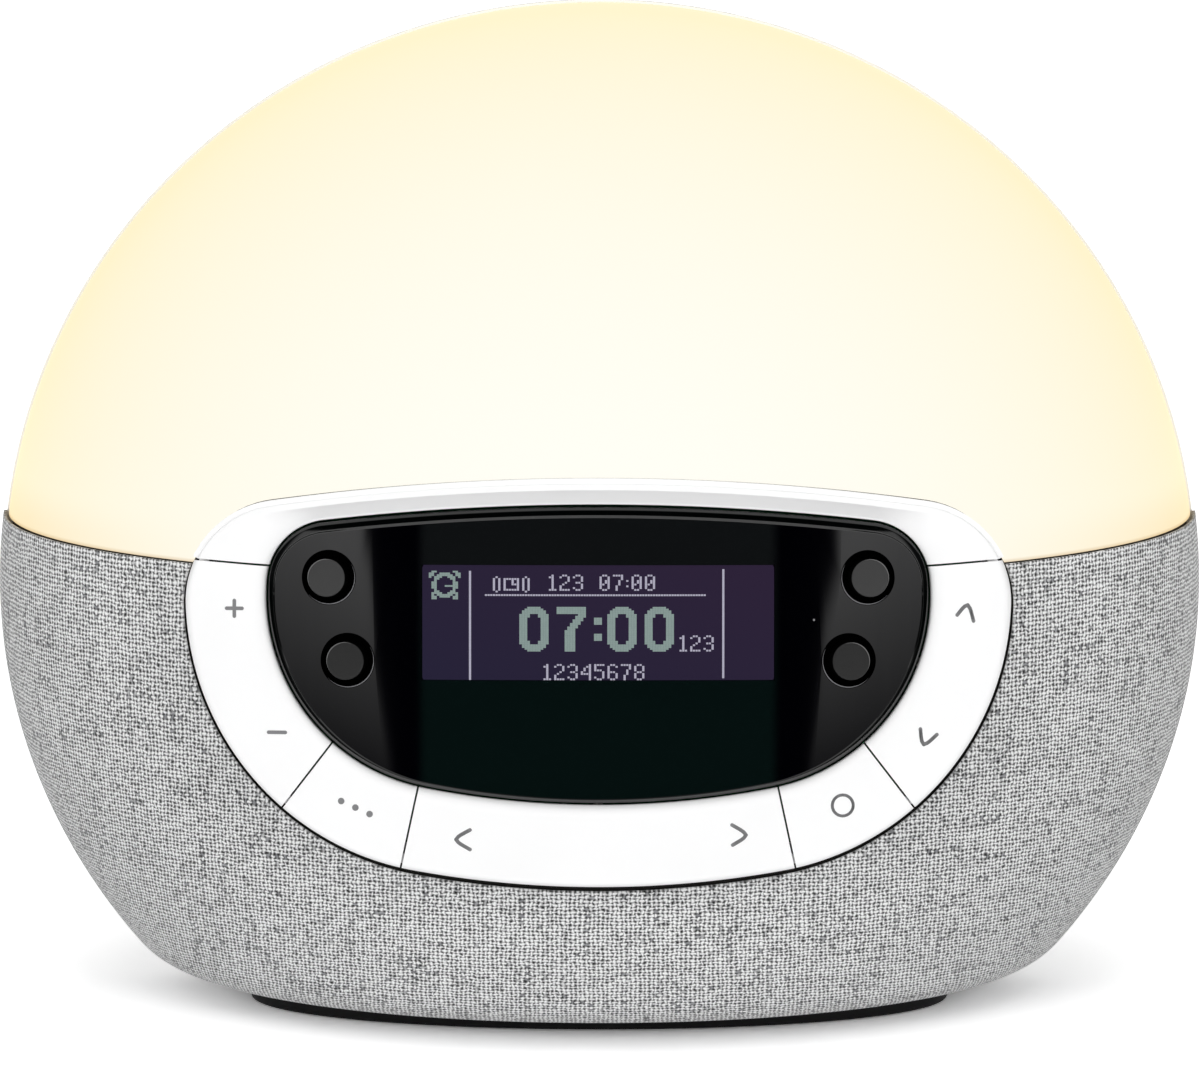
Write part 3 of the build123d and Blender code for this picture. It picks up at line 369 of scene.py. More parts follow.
def wovenFabric():
    # plain weave of grey and white melange yarns, worked out yarn by yarn: every yarn changes tone
    # along its length, and painted shade darkens it where it dips under its neighbours and at pores of uneven
    # size at the corners.
    # Pitch and tone length are millimetres; a shift is its noise's scale, detail and size, in yarns
    weave = dict(yarnPitch=0.78, toneLength=13.0, shifts=((0.25, 3.0, 0.5), (0.9, 1.0, 0.42)),
                 noiseRow=7.31, noisePlane=(3.7, 19.1), toneRange=(0.33, 0.45), porePower=(2.6, 0.6),
                 poreShade=0.0, dipPower=3.0, dipShade=0.45, fuzz=0.25, bump=0.3, bumpDepth=0.15,
                 dark="#939496", light="#ffffff", sheen=0.35)
    material, add = newMaterial("melangePlainWeave")
    place = add("UVMap", uv_map="weave")
    threads = add("VectorMath SCALE", {0: place, "Scale": 1 / (weave["yarnPitch"] * mm)})
    moved = threads
    for scale, detail, size in weave["shifts"]:
        noise = add("TexNoise", {"Vector": threads, "Scale": scale, "Detail": detail})
        centred = add("VectorMath SUBTRACT", [noise.outputs["Color"], (0.5, 0.5, 0.5)])
        shift = add("VectorMath SCALE", {0: centred, "Scale": size * 2})
        moved = add("VectorMath ADD", [moved, shift])
    number = add("VectorMath FLOOR", [moved])
    split = add("SeparateXYZ", [moved]).outputs
    whole = add("SeparateXYZ", [number]).outputs
    total = add("Math ADD", [whole["X"], whole["Y"]])
    over = add("Math PINGPONG", [total, 1.0])
    # tone of each yarn: slow noise along its run, with a new row of the noise for each yarn; and nearness
    # to a yarn's edge: the size of a cosine that peaks on the lines between yarns
    tones, edges = [], []
    for thread, run, plane in (("X", "Y", weave["noisePlane"][0]), ("Y", "X", weave["noisePlane"][1])):
        spread = add("Math MULTIPLY", [whole[thread], weave["noiseRow"]])
        slow = add("Math MULTIPLY", [split[run], weave["yarnPitch"] / weave["toneLength"]])
        where = add("CombineXYZ", [spread, slow, plane])
        tones.append(add("TexNoise", {"Vector": where, "Scale": 1.0, "Detail": 4.0, "Roughness": 0.75}))
        angle = add("Math MULTIPLY", [split[thread], pi])
        wave = add("Math COSINE", [angle])
        edges.append(add("Math ABSOLUTE", [wave]))
    tone = add("Mix", {0: over, 2: tones[0], 3: tones[1]})
    corner = add("Math MULTIPLY", edges)
    nearest = add("VectorMath ADD", [moved, (0.5, 0.5, 0.0)])
    crossing = add("VectorMath FLOOR", [nearest])
    chance = add("TexWhiteNoise", {"Vector": crossing}, noise_dimensions="2D")
    size = add("MapRange", [chance, 0.0, 1.0, *weave["porePower"]])
    pore = add("Math POWER", [corner, size])
    dips = add("Mix", {0: over, 2: edges[1], 3: edges[0]})
    dip = add("Math POWER", [dips, weave["dipPower"]])
    # painted shade: the pores and the dips darken the yarn's colour
    poreShade = add("MapRange", [pore, 0.0, 1.0, 1.0, weave["poreShade"]])
    dipShade = add("MapRange", [dip, 0.0, 1.0, 1.0, weave["dipShade"]])
    shade = add("Math MULTIPLY", [poreShade, dipShade])
    ramp = add("MapRange", [tone, *weave["toneRange"]], interpolation_type="SMOOTHSTEP")
    yarn = add("Mix", {0: ramp, 6: srgb(weave["dark"]), 7: srgb(weave["light"])}, data_type="RGBA")
    colour = add("VectorMath SCALE", {0: yarn, "Scale": shade})
    # loose fibres, six to a yarn, roughen the relief
    fibre = add("TexNoise", {"Vector": threads, "Scale": 6.0, "Detail": 2.0})
    fuzz = add("Math MULTIPLY", [fibre, weave["fuzz"]])
    height = add("Math ADD", [shade, fuzz])
    bump = add("Bump", {"Height": height, "Strength": weave["bump"], "Distance": weave["bumpDepth"] * mm})
    shader = add("BsdfPrincipled",
                 {"Base Color": colour, "Normal": bump, "Roughness": 0.9, "Specular IOR Level": 0.1,
                  "Sheen Weight": weave["sheen"], "Sheen Roughness": 0.5})
    return finishMaterial(material, shader)


glassLow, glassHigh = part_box("display_glass")


def displayGlass():
    # a thin polished cover over a dim dot display: its backlight is blue violet, redder to the upper right,
    # and beyond a short radius from each corner of the lit field it stays dark
    field = dict(left="#272339", right="#2e2339", shares=(0.6, 0.5), corner=0.8, glow=0.9, surface="#050508")
    material, add = newMaterial("displayCoverLit")
    place = add("TexCoord").outputs["Object"]
    x, _, z = add("SeparateXYZ", [place]).outputs
    corner = field["corner"] * mm
    reddening, reach = [], []
    for axis, low, high, share in ((x, glassLow.x, glassHigh.x, field["shares"][0]),
                                   (z, glassLow.z, glassHigh.z, field["shares"][1])):
        reddening.append(add("MapRange", [axis, low, high, 0.0, share]))
        offset = add("Math SUBTRACT", [axis, (low + high) / 2])
        size = add("Math ABSOLUTE", [offset])
        beyond = add("Math SUBTRACT", [size, (high - low) / 2 - corner])
        reach.append(add("Math MAXIMUM", [beyond, 0.0]))
    both = add("Math ADD", reddening, use_clamp=True)
    colour = add("Mix", {0: both, 6: srgb(field["left"]), 7: srgb(field["right"])}, data_type="RGBA")
    away = add("VectorMath LENGTH", [add("CombineXYZ", reach)])
    lit = add("Math LESS_THAN", [away, corner])
    strength = add("Math MULTIPLY", [lit, field["glow"]])
    shader = add("BsdfPrincipled",
                 {"Emission Color": colour, "Emission Strength": strength,
                  "Base Color": srgb(field["surface"]), "Roughness": 0.08})
    return finishMaterial(material, shader)


def windowAcrylic():
    # polished black acrylic with a painted reflection over the middle: a very dark green below the display
    # and a dark grey above it
    window = dict(solid="#010103", below="#06100f", above="#0f1112", reflectionHalf=(28.2, 30.6))
    material, add = newMaterial("acrylicPolishedWindow")
    place = add("TexCoord").outputs["Object"]
    x, _, z = add("SeparateXYZ", [place]).outputs
    side = add("Math ABSOLUTE", [x])
    inner, outer = window["reflectionHalf"]
    # the painted reflection covers the middle and fades out towards the sides
    middle = add("MapRange", [side, inner * mm, outer * mm, 1.0, 0.0], interpolation_type="SMOOTHSTEP")
    up = add("MapRange", [z, glassLow.z, glassHigh.z])
    tone = add("Mix", {0: up, 6: srgb(window["below"]), 7: srgb(window["above"])}, data_type="RGBA")
    colour = add("Mix", {0: middle, 6: srgb(window["solid"]), 7: tone}, data_type="RGBA")
    shader = add("BsdfPrincipled", {"Base Color": colour, "Roughness": 0.04})
    return finishMaterial(material, shader)


def litDots(name, colour, perMetre=1200.0, levels=(0.9, 1.1)):
    # display dots: they only glow, with a little difference from dot to dot
    material, add = newMaterial(name)
    place = add("TexCoord").outputs["Object"]
    dots = add("TexNoise", {"Vector": place, "Scale": perMetre})
    level = add("MapRange", [dots, 0.0, 1.0, *levels])
    glow = add("VectorMath SCALE", {0: srgb(colour)[:3], "Scale": level})
    shader = add("BsdfPrincipled", {"Emission Color": glow, "Base Color": srgb("#0a0a0a"),
                                    "Roughness": 0.5, "Emission Strength": 1.0})
    return finishMaterial(material, shader)


# colour, roughness, strength and size of the grain, variation of the tone, specular level
plastics = dict(
    absMouldedWhite=("#fafafa", 0.32, 0.1),  # a smooth white with a soft gloss
    absSparkErodedWhite=("#f2f2f1", 0.5, 0.5, 0.4),  # a finely pitted white that hides marks
    absMouldedBlack=("#0a0a0b", 0.5, 0.35, 0.4, 0.1, 0.15),  # a dull black foot, a little cloudy
    absDarkGreyPaintedShade=("#2a2927", 0.5, 0.3, 0.25, 0.03, 0.2),  # painted shade: a dark grey so that gaps onto the shell show as dark lines
    nylonMouldedBlack=("#161617", 0.5, 0.3),  # a plain dull black
    siliconeMouldedDark=("#3a3a3a", 0.5, 0.5, 0.3, 0.08, 0.15),  # a dry dark grey, slightly uneven
    siliconeMouldedPaintedShade=("#252525", 0.5, 0.5, 0.3, 0.08, 0.15),  # the same, painted darker as shade on the lower caps
    siliconePaintedHighlight=("#6e6e6e", 0.6, 0.1, 0.25, 0.03, 0.1),  # a paler grey painted highlight on the cap's upper outer edge
    acrylicPaintedHighlight=("#77777a", 0.3, 0.0, 0.25, 0.03, 0.3),  # a light grey painted highlight along the hole's cut edge
    nylonPaintedShade=("#010101", 0.7, 0.2, 0.25, 0.03, 0.01),  # near black painted shade for the cap's wall and the flange down in the hole
    acrylicPolishedRim=("#020303", 0.06, 0.0, 0.25, 0.1),  # a wet black with sharp highlights
    rubberMouldedBlack=("#121212", 0.75, 0.6),  # a matt, grippy black
    foamCutBlack=("#1b1b1b", 0.95, 1.0, 0.3),  # open cells that take up all gloss
    epoxyBoardGreen=("#1f5a35", 0.35, 0.2),  # a smooth green varnish
    epoxyBoardWhite=("#ecece8", 0.35, 0.2),  # a smooth white varnish
    absMouldedReflector=("#f4f4ee", 0.45, 0.2),  # a warm white that throws light back
    padPrintInkGrey=("#7b7b7c", 0.6, 0.2, 0.25, 0.05),  # thin, slightly uneven grey ink
    ferriteSintered=("#3a3a3c", 0.6, 0.5),  # a dense, grainy dark grey
    pulpPressedBlack=("#1c1c1c", 0.85, 1.0, 0.5),  # fibrous and matt
)
# colour and roughness
metals = dict(
    steelZincPlated=("#b9b8b2", 0.32),  # a soft silver, faintly streaked
    brassNickelPlated=("#c9c4b6", 0.18),  # a bright, slightly warm silver
    aluminiumMilled=("#d6d7d8", 0.35),  # a pale silver with a dull sheen
)
finish = {name: plasticMaterial(name, *values) for name, values in plastics.items()}
finish.update({name: metalMaterial(name, *values) for name, values in metals.items()})
finish.update({material.name: material for material in (windowAcrylic(), glowingAcrylic(), displayGlass())})

# finish of each piece that is carried over as it is
carriedOver = dict(
    absSparkErodedWhite=["rear_casing"],
    opalAcrylicLit=["diffuser_dome"],
    # the front shell's dark grey is painted shade for the gaps that show it
    absDarkGreyPaintedShade=["front_shell"],
    absMouldedWhite=["panel_housing"],
    nylonMouldedBlack=["inner_frame", "tact_switches", "speaker_frame", "dc_jack"],
    acrylicPolishedWindow=["fascia_window"],
    displayCoverLit=["display_glass"],
    rubberMouldedBlack=["rubber_feet"],
    foamCutBlack=["dome_gasket", "display_gasket", "speaker_gasket", "antenna_grommet"],
    epoxyBoardGreen=["main_board", "left_switch_board", "right_switch_board"],
    epoxyBoardWhite=["led_board", "display_module"],
    absMouldedReflector=["light_tray", "reflector", "leds"],
    ferriteSintered=["speaker_magnet"],
    pulpPressedBlack=["speaker_cone"],
    aluminiumMilled=["led_heat_spreader"],
    brassNickelPlated=["dc_jack_pin"],
    steelZincPlated=["base_screws", "casing_screws", "panel_screws", "led_board_screws", "speaker_screws",
                     "jack_nut", "left_rocker_pin", "right_rocker_pin", "centre_rocker_pin"],
)
for finishName, names in carriedOver.items():
    for name in names:
        nodes[name].data.materials.clear()
        nodes[name].data.materials.append(finish[finishName])
print("stage: materials on the carried-over pieces")

# the skin is cut as flat, of which flatArea is cloth, in metres; the rest is in millimetres. It ends
# innerEnd from the middle of the underside, clears the ring all round and sags a little below it
skin = dict(columns=400, rows=118, sideShare=0.26, thickness=0.5, innerEnd=30.0, clearance=0.95, sag=1.0,
            flat=(0.28, 0.145), flatArea=0.0204)


def bodyProfile(count=400):
    # from the band down: the lower oval, the rounded corner and the flat underside, by running length
    width, drop, corner = body["halfWidth"], body["bodyDrop"], body["undersideRound"]
    angle = np.linspace(0, pi / 2, 4000)
    oval = np.stack([width * np.cos(angle), -drop * np.sin(angle)], -1)
    inward = np.stack([-np.cos(angle) / width, np.sin(angle) / drop], -1)
    inward /= np.linalg.norm(inward, axis=1)[:, None]
    centres = oval + corner * inward
    # the corner's arc starts where its centre is one radius above the underside
    start = np.argmax(centres[:, 1] < corner - body["undersideDrop"])
    centre = np.array([centres[start, 0], corner - body["undersideDrop"]])
    turn = np.arctan2(*(oval[start] - centre)[::-1])
    above = np.linspace(np.arcsin(body["bandLevel"] / body["domeRise"]), 0, 60)[:-1]
    upper = np.stack([width * np.cos(above), body["domeRise"] * np.sin(above)], -1)
    bend = arc(centre, corner, turn, -pi / 2, 200)
    line = np.concatenate([upper, oval[:start], bend, [[skin["innerEnd"], -body["undersideDrop"]]]])
    steps = runningLength(line)
    places = np.linspace(0, steps[-1], count)
    return places, np.interp(places, steps, line[:, 0]), np.interp(places, steps, line[:, 1])


profileRun, profileRadius, profileLevel = bodyProfile()


def openingInSkin(count):
    # the ring's outline, let out a little and more so at the bottom, carried along the panel's normal
    # until it meets the oval body
    outline = shieldOutline(ringShape, skin["clearance"]) - [0, skin["sag"]]
    start = panel["origin"] - [0, body["seamY"], body["level"]]
    base = start + outline[:, :1] * panel["side"] + outline[:, 1:] * panel["up"]
    size = np.array([body["halfWidth"], body["frontDepth"], body["bodyDrop"]])
    size = np.broadcast_to(size, base.shape).copy()
    for _ in range(3):
        # root of the quadratic for a line through an oval, which is taller above its widest level
        a = ((panel["out"] / size) ** 2).sum(1)
        b = 2 * (base * panel["out"] / size**2).sum(1)
        c = ((base / size) ** 2).sum(1) - 1
        depth = (-b + np.sqrt(b**2 - 4 * a * c)) / (2 * a)
        meets = base + depth[:, None] * panel["out"]
        size[:, 2] = np.where(meets[:, 2] > 0, body["domeRise"], body["bodyDrop"])
    below = meets[:, 2] <= body["bandLevel"]
    first = np.argmax(below)
    last = len(below) - 1 - np.argmax(below[::-1])
    # right side first in the outline, so turned round to run from left to right
    piece = meets[first - 1:last + 2][::-1]
    for end, inner in ((0, 1), (-1, -2)):
        share = (body["bandLevel"] - piece[inner, 2]) / (piece[end, 2] - piece[inner, 2])
        piece[end] = piece[inner] + share * (piece[end] - piece[inner])
    turn = np.arctan2(piece[:, 0] / body["halfWidth"], -piece[:, 1] / body["frontDepth"])
    run = np.interp(-piece[:, 2], -profileLevel, profileRun)
    steps = runningLength(piece)
    places = np.linspace(0, steps[-1], count)
    return np.interp(places, steps, turn), np.interp(places, steps, run)


def fabricSkin():
    # rays from the panel's opening out to the seam, the underside and the seam again, laid on the oval
    innerTurn, innerRun = openingInSkin(skin["columns"])
    side = int(skin["columns"] * skin["sideShare"])
    middle = skin["columns"] - 2 * side
    endRun = profileRun[-1]
    outerTurn = np.concatenate([np.full(side, -pi / 2), np.linspace(-pi / 2, pi / 2, middle),
                                np.full(side, pi / 2)])
    outerRun = np.concatenate([np.linspace(0, endRun, side, endpoint=False), np.full(middle, endRun),
                               np.linspace(endRun, 0, side + 1)[1:]])
    share = np.linspace(0, 1, skin["rows"])
    turn = innerTurn[:, None] * (1 - share) + outerTurn[:, None] * share
    run = innerRun[:, None] * (1 - share) + outerRun[:, None] * share
    radius = np.interp(run, profileRun, profileRadius)
    level = np.interp(run, profileRun, profileLevel)
    depthShare = body["frontDepth"] / body["halfWidth"]
    points = np.stack([radius * np.sin(turn), body["seamY"] - radius * np.cos(turn) * depthShare,
                       body["level"] + level], -1).reshape(-1, 3) * mm
    piece = makeMesh("fabricSkin", points, gridFaces(skin["columns"], skin["rows"]), wovenFabric())
    # yarns across follow the running length round the oval, yarns down the profile's length
    angles = np.linspace(-pi / 2, pi / 2, 721)
    speed = np.sqrt(np.cos(angles) ** 2 + (depthShare * np.sin(angles)) ** 2)
    rounds = np.concatenate([[0], np.cumsum((speed[1:] + speed[:-1]) / 2 * np.diff(angles))])
    rounds -= rounds[len(rounds) // 2]
    weft = radius * np.interp(turn, angles, rounds) * mm
    weave = np.stack([weft, run * mm], -1).reshape(-1, 2)
    loops = np.zeros(len(piece.data.loops), np.int32)
    piece.data.loops.foreach_get("vertex_index", loops)
    layer = piece.data.uv_layers.new(name="weave")
    layer.data.foreach_set("uv", weave[loops].ravel())
    thick = piece.modifiers.new("thickness", "SOLIDIFY")
    thick.thickness = skin["thickness"] * mm
    thick.offset = -1
    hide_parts("fabric_skin")


fabricSkin()
print("stage: fabric skin")

# the keys roll off towards the fascia on an arc of rollRadius over roll, and have a rounded outer edge;
# their ends are drafted towards the back, so that a rocking key clears the keys beside it. Rows of points
# lie close together near the borders, at these distances in from the end, the inner and the outer border
keyValues = dict(thickness=2.2, outerRound=0.95, innerRound=0.15, endRound=0.08, along=150, across=34,
                 roll=2.8, rollRadius=3.6, pullIn=0.0, ledge=None, draft=0.25, fromEnd=0.6,
                 endRows=(0, 0.02, 0.05, 0.09, 0.15, 0.3), innerRows=(0, 0.03, 0.07, 0.13, 0.22, 0.4),
                 outerRows=(0, 0.03, 0.08, 0.16, 0.28, 0.45, 0.65, 0.95))
bezelValues = dict(keyValues, thickness=3.4, outerRound=0.3, pullIn=0.4, ledge=(0.86, 0.5), draft=0.0)

# seam lines as a place and a heading, the left ones mirrored
seams = dict(rightShoulder=((55.4, 23.0), 4.5), rightLower=((44.65, -6.9), -52.3),
             rightBottom=((30.0, -14.0), -77.8))
for name in list(seams):
    (across, up), angle = seams[name]
    seams[name.replace("right", "left")] = ((-across, up), 180 - angle)


def seamPlace(outline, seam, shift, nearby=30.0):
    # running length at which an outline crosses a seam line that is shifted clockwise
    start, angle = np.array(seam[0]), radians(seam[1])
    outward = np.array([np.cos(angle), np.sin(angle)])
    clockwise = np.array([outward[1], -outward[0]])
    offset = outline - start - shift * clockwise
    side, reach = offset @ clockwise, offset @ outward
    following = np.roll(side, -1)
    crossing = np.flatnonzero((side < 0) & (following >= 0) & (np.abs(reach) < nearby))
    step = crossing[np.argmin(np.abs(reach[crossing]))]
    lengths = lengthsAlong(outline)
    share = side[step] / (side[step] - following[step])
    return lengths[step] + share * (lengths[step + 1] - lengths[step])


def awayFrom(spots, outline):
    # shortest distance to a closed outline: the nearest corner first, then the two edges that meet there
    flat = spots.reshape(-1, 2)
    near = np.argmin(((flat[:, None] - outline) ** 2).sum(-1), axis=1)
    best = np.full(len(flat), np.inf)
    for step in (0, 1):
        start, end = outline[near - step], outline[(near - step + 1) % len(outline)]
        edge = end - start
        share = np.clip(((flat - start) * edge).sum(1) / (edge**2).sum(1), 0, 1)
        best = np.minimum(best, np.linalg.norm(flat - start - share[:, None] * edge, axis=1))
    return best.reshape(spots.shape[:-1])


def keyFall(across, fromInner, fromOuter, values):
    # how far a key's face has dropped along the arc at a distance from the fascia, which is all it goes by
    inside = np.clip(values["roll"] - fromInner, 0, None)
    return values["rollRadius"] - np.sqrt(values["rollRadius"] ** 2 - inside**2)


def bezelFall(across, fromInner, fromOuter, values):
    # the bezel's crest stands a band in from its outer edge; from there it falls to a lip at the fascia,
    # steepest under the crest; near the seams it takes the keys' own shape
    crest = dict(band=1.05, lip=0.38, fall=1.6, even=0.45, added=0.75, fadeFrom=52.0, fadeTo=62.0)
    run = fromInner + fromOuter - crest["band"] - crest["lip"]
    climb = np.clip((fromInner - crest["lip"]) / run, 0, 1)
    climbed = (crest["even"] * climb + crest["added"] / 2 * climb**2) / (crest["even"] + crest["added"] / 2)
    fade = np.clip((np.abs(across) - crest["fadeFrom"]) / (crest["fadeTo"] - crest["fadeFrom"]), 0, 1)
    fade = fade**2 * (3 - 2 * fade)
    return crest["fall"] * (1 - climbed) * (1 - fade) + keyFall(across, fromInner, fromOuter, values) * fade


def keyCap(name, node, start, end, bodyName, values, fall):
    # a plate ruled between the fascia's outline and the ring's outline, with rounded borders
    inner = shieldOutline(fasciaShape, panel["keyGap"])
    outer = shieldOutline(ringShape, -values["pullIn"])
    half = panel["seamGap"] / 2
    sides = []
    for outline in (inner, outer):
        first, last = seamPlace(outline, seams[start], half), seamPlace(outline, seams[end], -half)
        if last < first:
            last += lengthsAlong(outline)[-1]
        sides.append((outline, first, last))
    length = np.mean([last - first for _, first, last in sides])
    endRows, innerRows, outerRows = [np.array(values[key]) for key in ("endRows", "innerRows", "outerRows")]
    main = np.linspace(values["fromEnd"], length - values["fromEnd"], values["along"])
    shares = np.concatenate([endRows / length, main / length, 1 - endRows[::-1] / length])
    tuck = values["draft"] / length
    (insideLine, outsideLine), backLines = [
        [pointsAt(outline, first + places * (last - first)) for outline, first, last in sides]
        for places in (shares, tuck + shares * (1 - 2 * tuck))]
    width = np.linalg.norm(outsideLine - insideLine, axis=1)[:, None]
    lowest, highest = innerRows[-1], width - outerRows[-1]
    middle = np.linspace(0, 1, values["across"])[1:-1]
    rows = np.concatenate([np.broadcast_to(innerRows, (len(width), len(innerRows))),
                           lowest + (highest - lowest) * middle, width - outerRows[::-1]], axis=1)
    spots, backSpots = [near[:, None] + (far - near)[:, None] * (rows / width)[..., None]
                        for near, far in ((insideLine, outsideLine), backLines)]
    fromInner = awayFrom(spots, shieldOutline(fasciaShape, panel["keyGap"], density=50))
    fromOuter = awayFrom(spots, shieldOutline(ringShape, -values["pullIn"], density=50))
    fromEnds = np.minimum(shares, 1 - shares)[:, None] * length
    height = -(rounded(fromInner, values["innerRound"]) + rounded(fromOuter, values["outerRound"])
               + rounded(fromEnds, values["endRound"]))
    height -= fall(spots[..., 0], fromInner, fromOuter, values)
    if values["ledge"]:
        # a low ledge outside the crown closes the gap to the piece round it
        reach, drop = values["ledge"]
        normal = turnedOut(np.gradient(outsideLine, axis=0))
        shelf = outsideLine[:, None] + normal[:, None] * np.array([0.01, reach])[:, None]
        spots, backSpots = [np.concatenate([grid, shelf], axis=1) for grid in (spots, backSpots)]
        height = np.concatenate([height, np.full((len(width), 2), -drop)], axis=1)
    front = panelPoints(spots[..., 0], spots[..., 1], height)
    back = panelPoints(backSpots[..., 0], backSpots[..., 1], np.full_like(height, -values["thickness"]))
    piece = makeMesh(name, np.concatenate([front, back]), plateFaces(*height.shape),
                     finish["absMouldedWhite"], bodyName)
    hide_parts(node)


for name, node, start, end in (
        ("leftRockerKey", "left_rocker_key", "leftLower", "leftShoulder"),
        ("rightRockerKey", "right_rocker_key", "rightShoulder", "rightLower"),
        ("leftPushKey", "left_push_key", "leftBottom", "leftLower"),
        ("rightPushKey", "right_push_key", "rightLower", "rightBottom"),
        ("centreRockerKey", "centre_rocker_key", "rightBottom", "leftBottom")):
    keyCap(name, node, start, end, node, keyValues, keyFall)
keyCap("topBezel", "top_bezel", "leftShoulder", "rightShoulder", "housing", bezelValues, bezelFall)
print("stage: keys")


def strokeOutline(start, end, width, turns=12):
    # a bar with round ends: two half circles joined
    heading = np.arctan2(end[1] - start[1], end[0] - start[0])
    far = arc(end, width / 2, heading - pi / 2, heading + pi / 2, turns)
    near = arc(start, width / 2, heading + pi / 2, heading + 3 * pi / 2, turns)
    return np.concatenate([far, near])


def printedMark(name, strokes, bodyName, width=0.62, proud=0.02, depth=0.05):
    # each stroke is a thin closed bar that stands a hair over the key
    points, faces = [], []
    for start, end in strokes:
        outline = strokeOutline(start, end, width)
        count, base = len(outline), sum(len(block) for block in points)
        points += [panelPoints(outline[:, 0], outline[:, 1], height) for height in (proud, -depth)]
        front = np.arange(count) + base
        following = np.roll(front, -1)
        faces += [front, front[::-1] + count,
                  *np.stack([following, front, front + count, following + count], -1)]
    return makeMesh(name, np.concatenate(points), faces, finish["padPrintInkGrey"], bodyName)


def lineStrokes(line):
    # short bars from each point of a line to the next
    return list(zip(line[:-1], line[1:]))


def plusMark(centre, size):
    # two bars of one length that cross in their middles
    across, up = centre
    half = size / 2
    return [((across - half, up), (across + half, up)), ((across, up - half), (across, up + half))]


def curvedChevron(tip, first, second, bow=0.22):
    # two arms from a rounded tip: each bows outwards a little near the tip
    tip, first, second = np.array([tip, first, second])
    share = np.linspace(0, 1, 7)[:, None]
    strokes = []
    for end, other in ((first, second), (second, first)):
        outward = (end - other) / np.linalg.norm(end - other)
        strokes += lineStrokes(tip + share * (end - tip) + bow * np.sin(pi * np.sqrt(share)) * outward)
    return strokes


# places in millimetres across and up the panel; the two push keys have three dots for a list, in a row
# that slopes with the key, and a ring for a choice; the sensor is a dot on the window
listStep = 2.6 * np.array([np.cos(radians(-24)), np.sin(radians(-24))])
listSpots = [np.array([-40.4, -17.2]) + step * listStep for step in (-1, 0, 1)]
marks = dict(
    plusMark=(plusMark((-60.73, 15.8), 2.6), "left_rocker_key"),
    minusMark=([((-54.95, -4.82), (-52.15, -4.82))], "left_rocker_key"),
    upMark=(curvedChevron((61.63, 16.41), (59.86, 14.76), (62.62, 13.73)), "right_rocker_key"),
    downMark=(curvedChevron((54.26, -6.78), (53.7, -4.2), (56.48, -5.17)), "right_rocker_key"),
    backMark=(curvedChevron((-23.6, -22.35), (-21.27, -20.75), (-21.27, -24.0)), "centre_rocker_key"),
    forwardMark=(curvedChevron((24.58, -21.58), (22.25, -19.9), (22.37, -23.23)), "centre_rocker_key"),
    listMark=([(spot, spot + [0.01, 0]) for spot in listSpots], "left_push_key", 1.1),
    choiceMark=(lineStrokes(arc((40.7, -16.8), 1.75, 0, 2 * pi, 29)), "right_push_key", 0.5),
    sensorDot=([((35.85, 14.12), (35.86, 14.12))], "housing", 0.35, -0.24, 0.3),
)
for name, values in marks.items():
    printedMark(name, *values)
print("stage: marks")


def fasciaRim():
    # a bead round the window, as distance in from its edge and height: outer wall, quarter round, a crown
    # that climbs inwards, then a short steep fall; it is widest along the top and narrowest at the bottom,
    # and the crown climbs less on both sides of the bottom's middle
    rim = dict(side=0.86, top=1.42, bottom=0.5, flat=0.4, flatFrom=15.0, flatTo=30.0, crownFoot=-0.075,
               crownInset=(0.3, 1.2), topPower=2, bottomPower=6, flatGain=3.0)
    profile = np.array([
        (0, -1.6), (0, -0.4), (0.03, -0.3), (0.08, -0.21), (0.15, -0.13), (0.24, -0.08), (0.34, -0.055),
        (0.5, -0.035), (0.9, 0.01), (0.94, 0.01), (0.98, 0), (1.03, -0.03), (1.08, -0.08), (1.14, -0.14),
        (1.2, -0.19), (1.26, -0.22), (1.26, -1.6)])
    inset, height = profile.T
    edge = shieldOutline(fasciaShape, density=60)
    normal = turnedOut(np.roll(edge, -1, axis=0) - np.roll(edge, 1, axis=0))
    scale = (rim["side"] + (rim["top"] - rim["side"]) * np.clip(normal[:, 1], 0, 1) ** rim["topPower"]
             + (rim["bottom"] - rim["side"]) * np.clip(-normal[:, 1], 0, 1) ** rim["bottomPower"])
    beside = np.clip((np.abs(edge[:, 0]) - rim["flatFrom"]) / (rim["flatTo"] - rim["flatFrom"]), 0, 1)
    climb = 1 - (1 - rim["flat"]) * beside * np.clip(-rim["flatGain"] * normal[:, 1], 0, 1)
    spots = edge[:, None] - normal[:, None] * (scale[:, None] * inset)[..., None]
    crown = (inset > rim["crownInset"][0]) & (inset < rim["crownInset"][1])
    heights = np.where(crown, rim["crownFoot"] + (height - rim["crownFoot"]) * climb[:, None], height)
    points = panelPoints(spots[..., 0], spots[..., 1], heights)
    count = len(profile)
    index = np.arange(len(edge)) * count
    following = np.roll(index, -1)
    underside = np.stack([index, following, following + count - 1, index + count - 1], -1)
    faces = np.concatenate([gridFaces(len(edge), count, closed=True), underside[:, ::-1]])
    makeMesh("fasciaRim", points, faces, finish["acrylicPolishedRim"], smoothAngle=50)


fasciaRim()

# places of the buttons on the panel, and the turned profile: foot and flange down in the hole, cap and its
# edge's radius, crown as shares of the radius and rises; lip is the hole's radius. A painted highlight line
# has the angle of its middle and half of its spread, in degrees on the left side's buttons, and its height
buttonValues = dict(column=43.3, level=14.2, lean=1.6, halfPitch=6.9, foot=5.05, flangeHeight=2.4, flange=5.5,
                    cap=3.2, proud=2.0, edge=0.4, crown=((0.6, 0.06), (0.3, 0.1)), peak=0.11, lip=4.42,
                    lipLine=(-55, 85, -0.2), capLine=(140, 70, -0.02), capLineInset=0.12, lineWidth=0.15,
                    lineTip=0.004, faceShare=0.6)


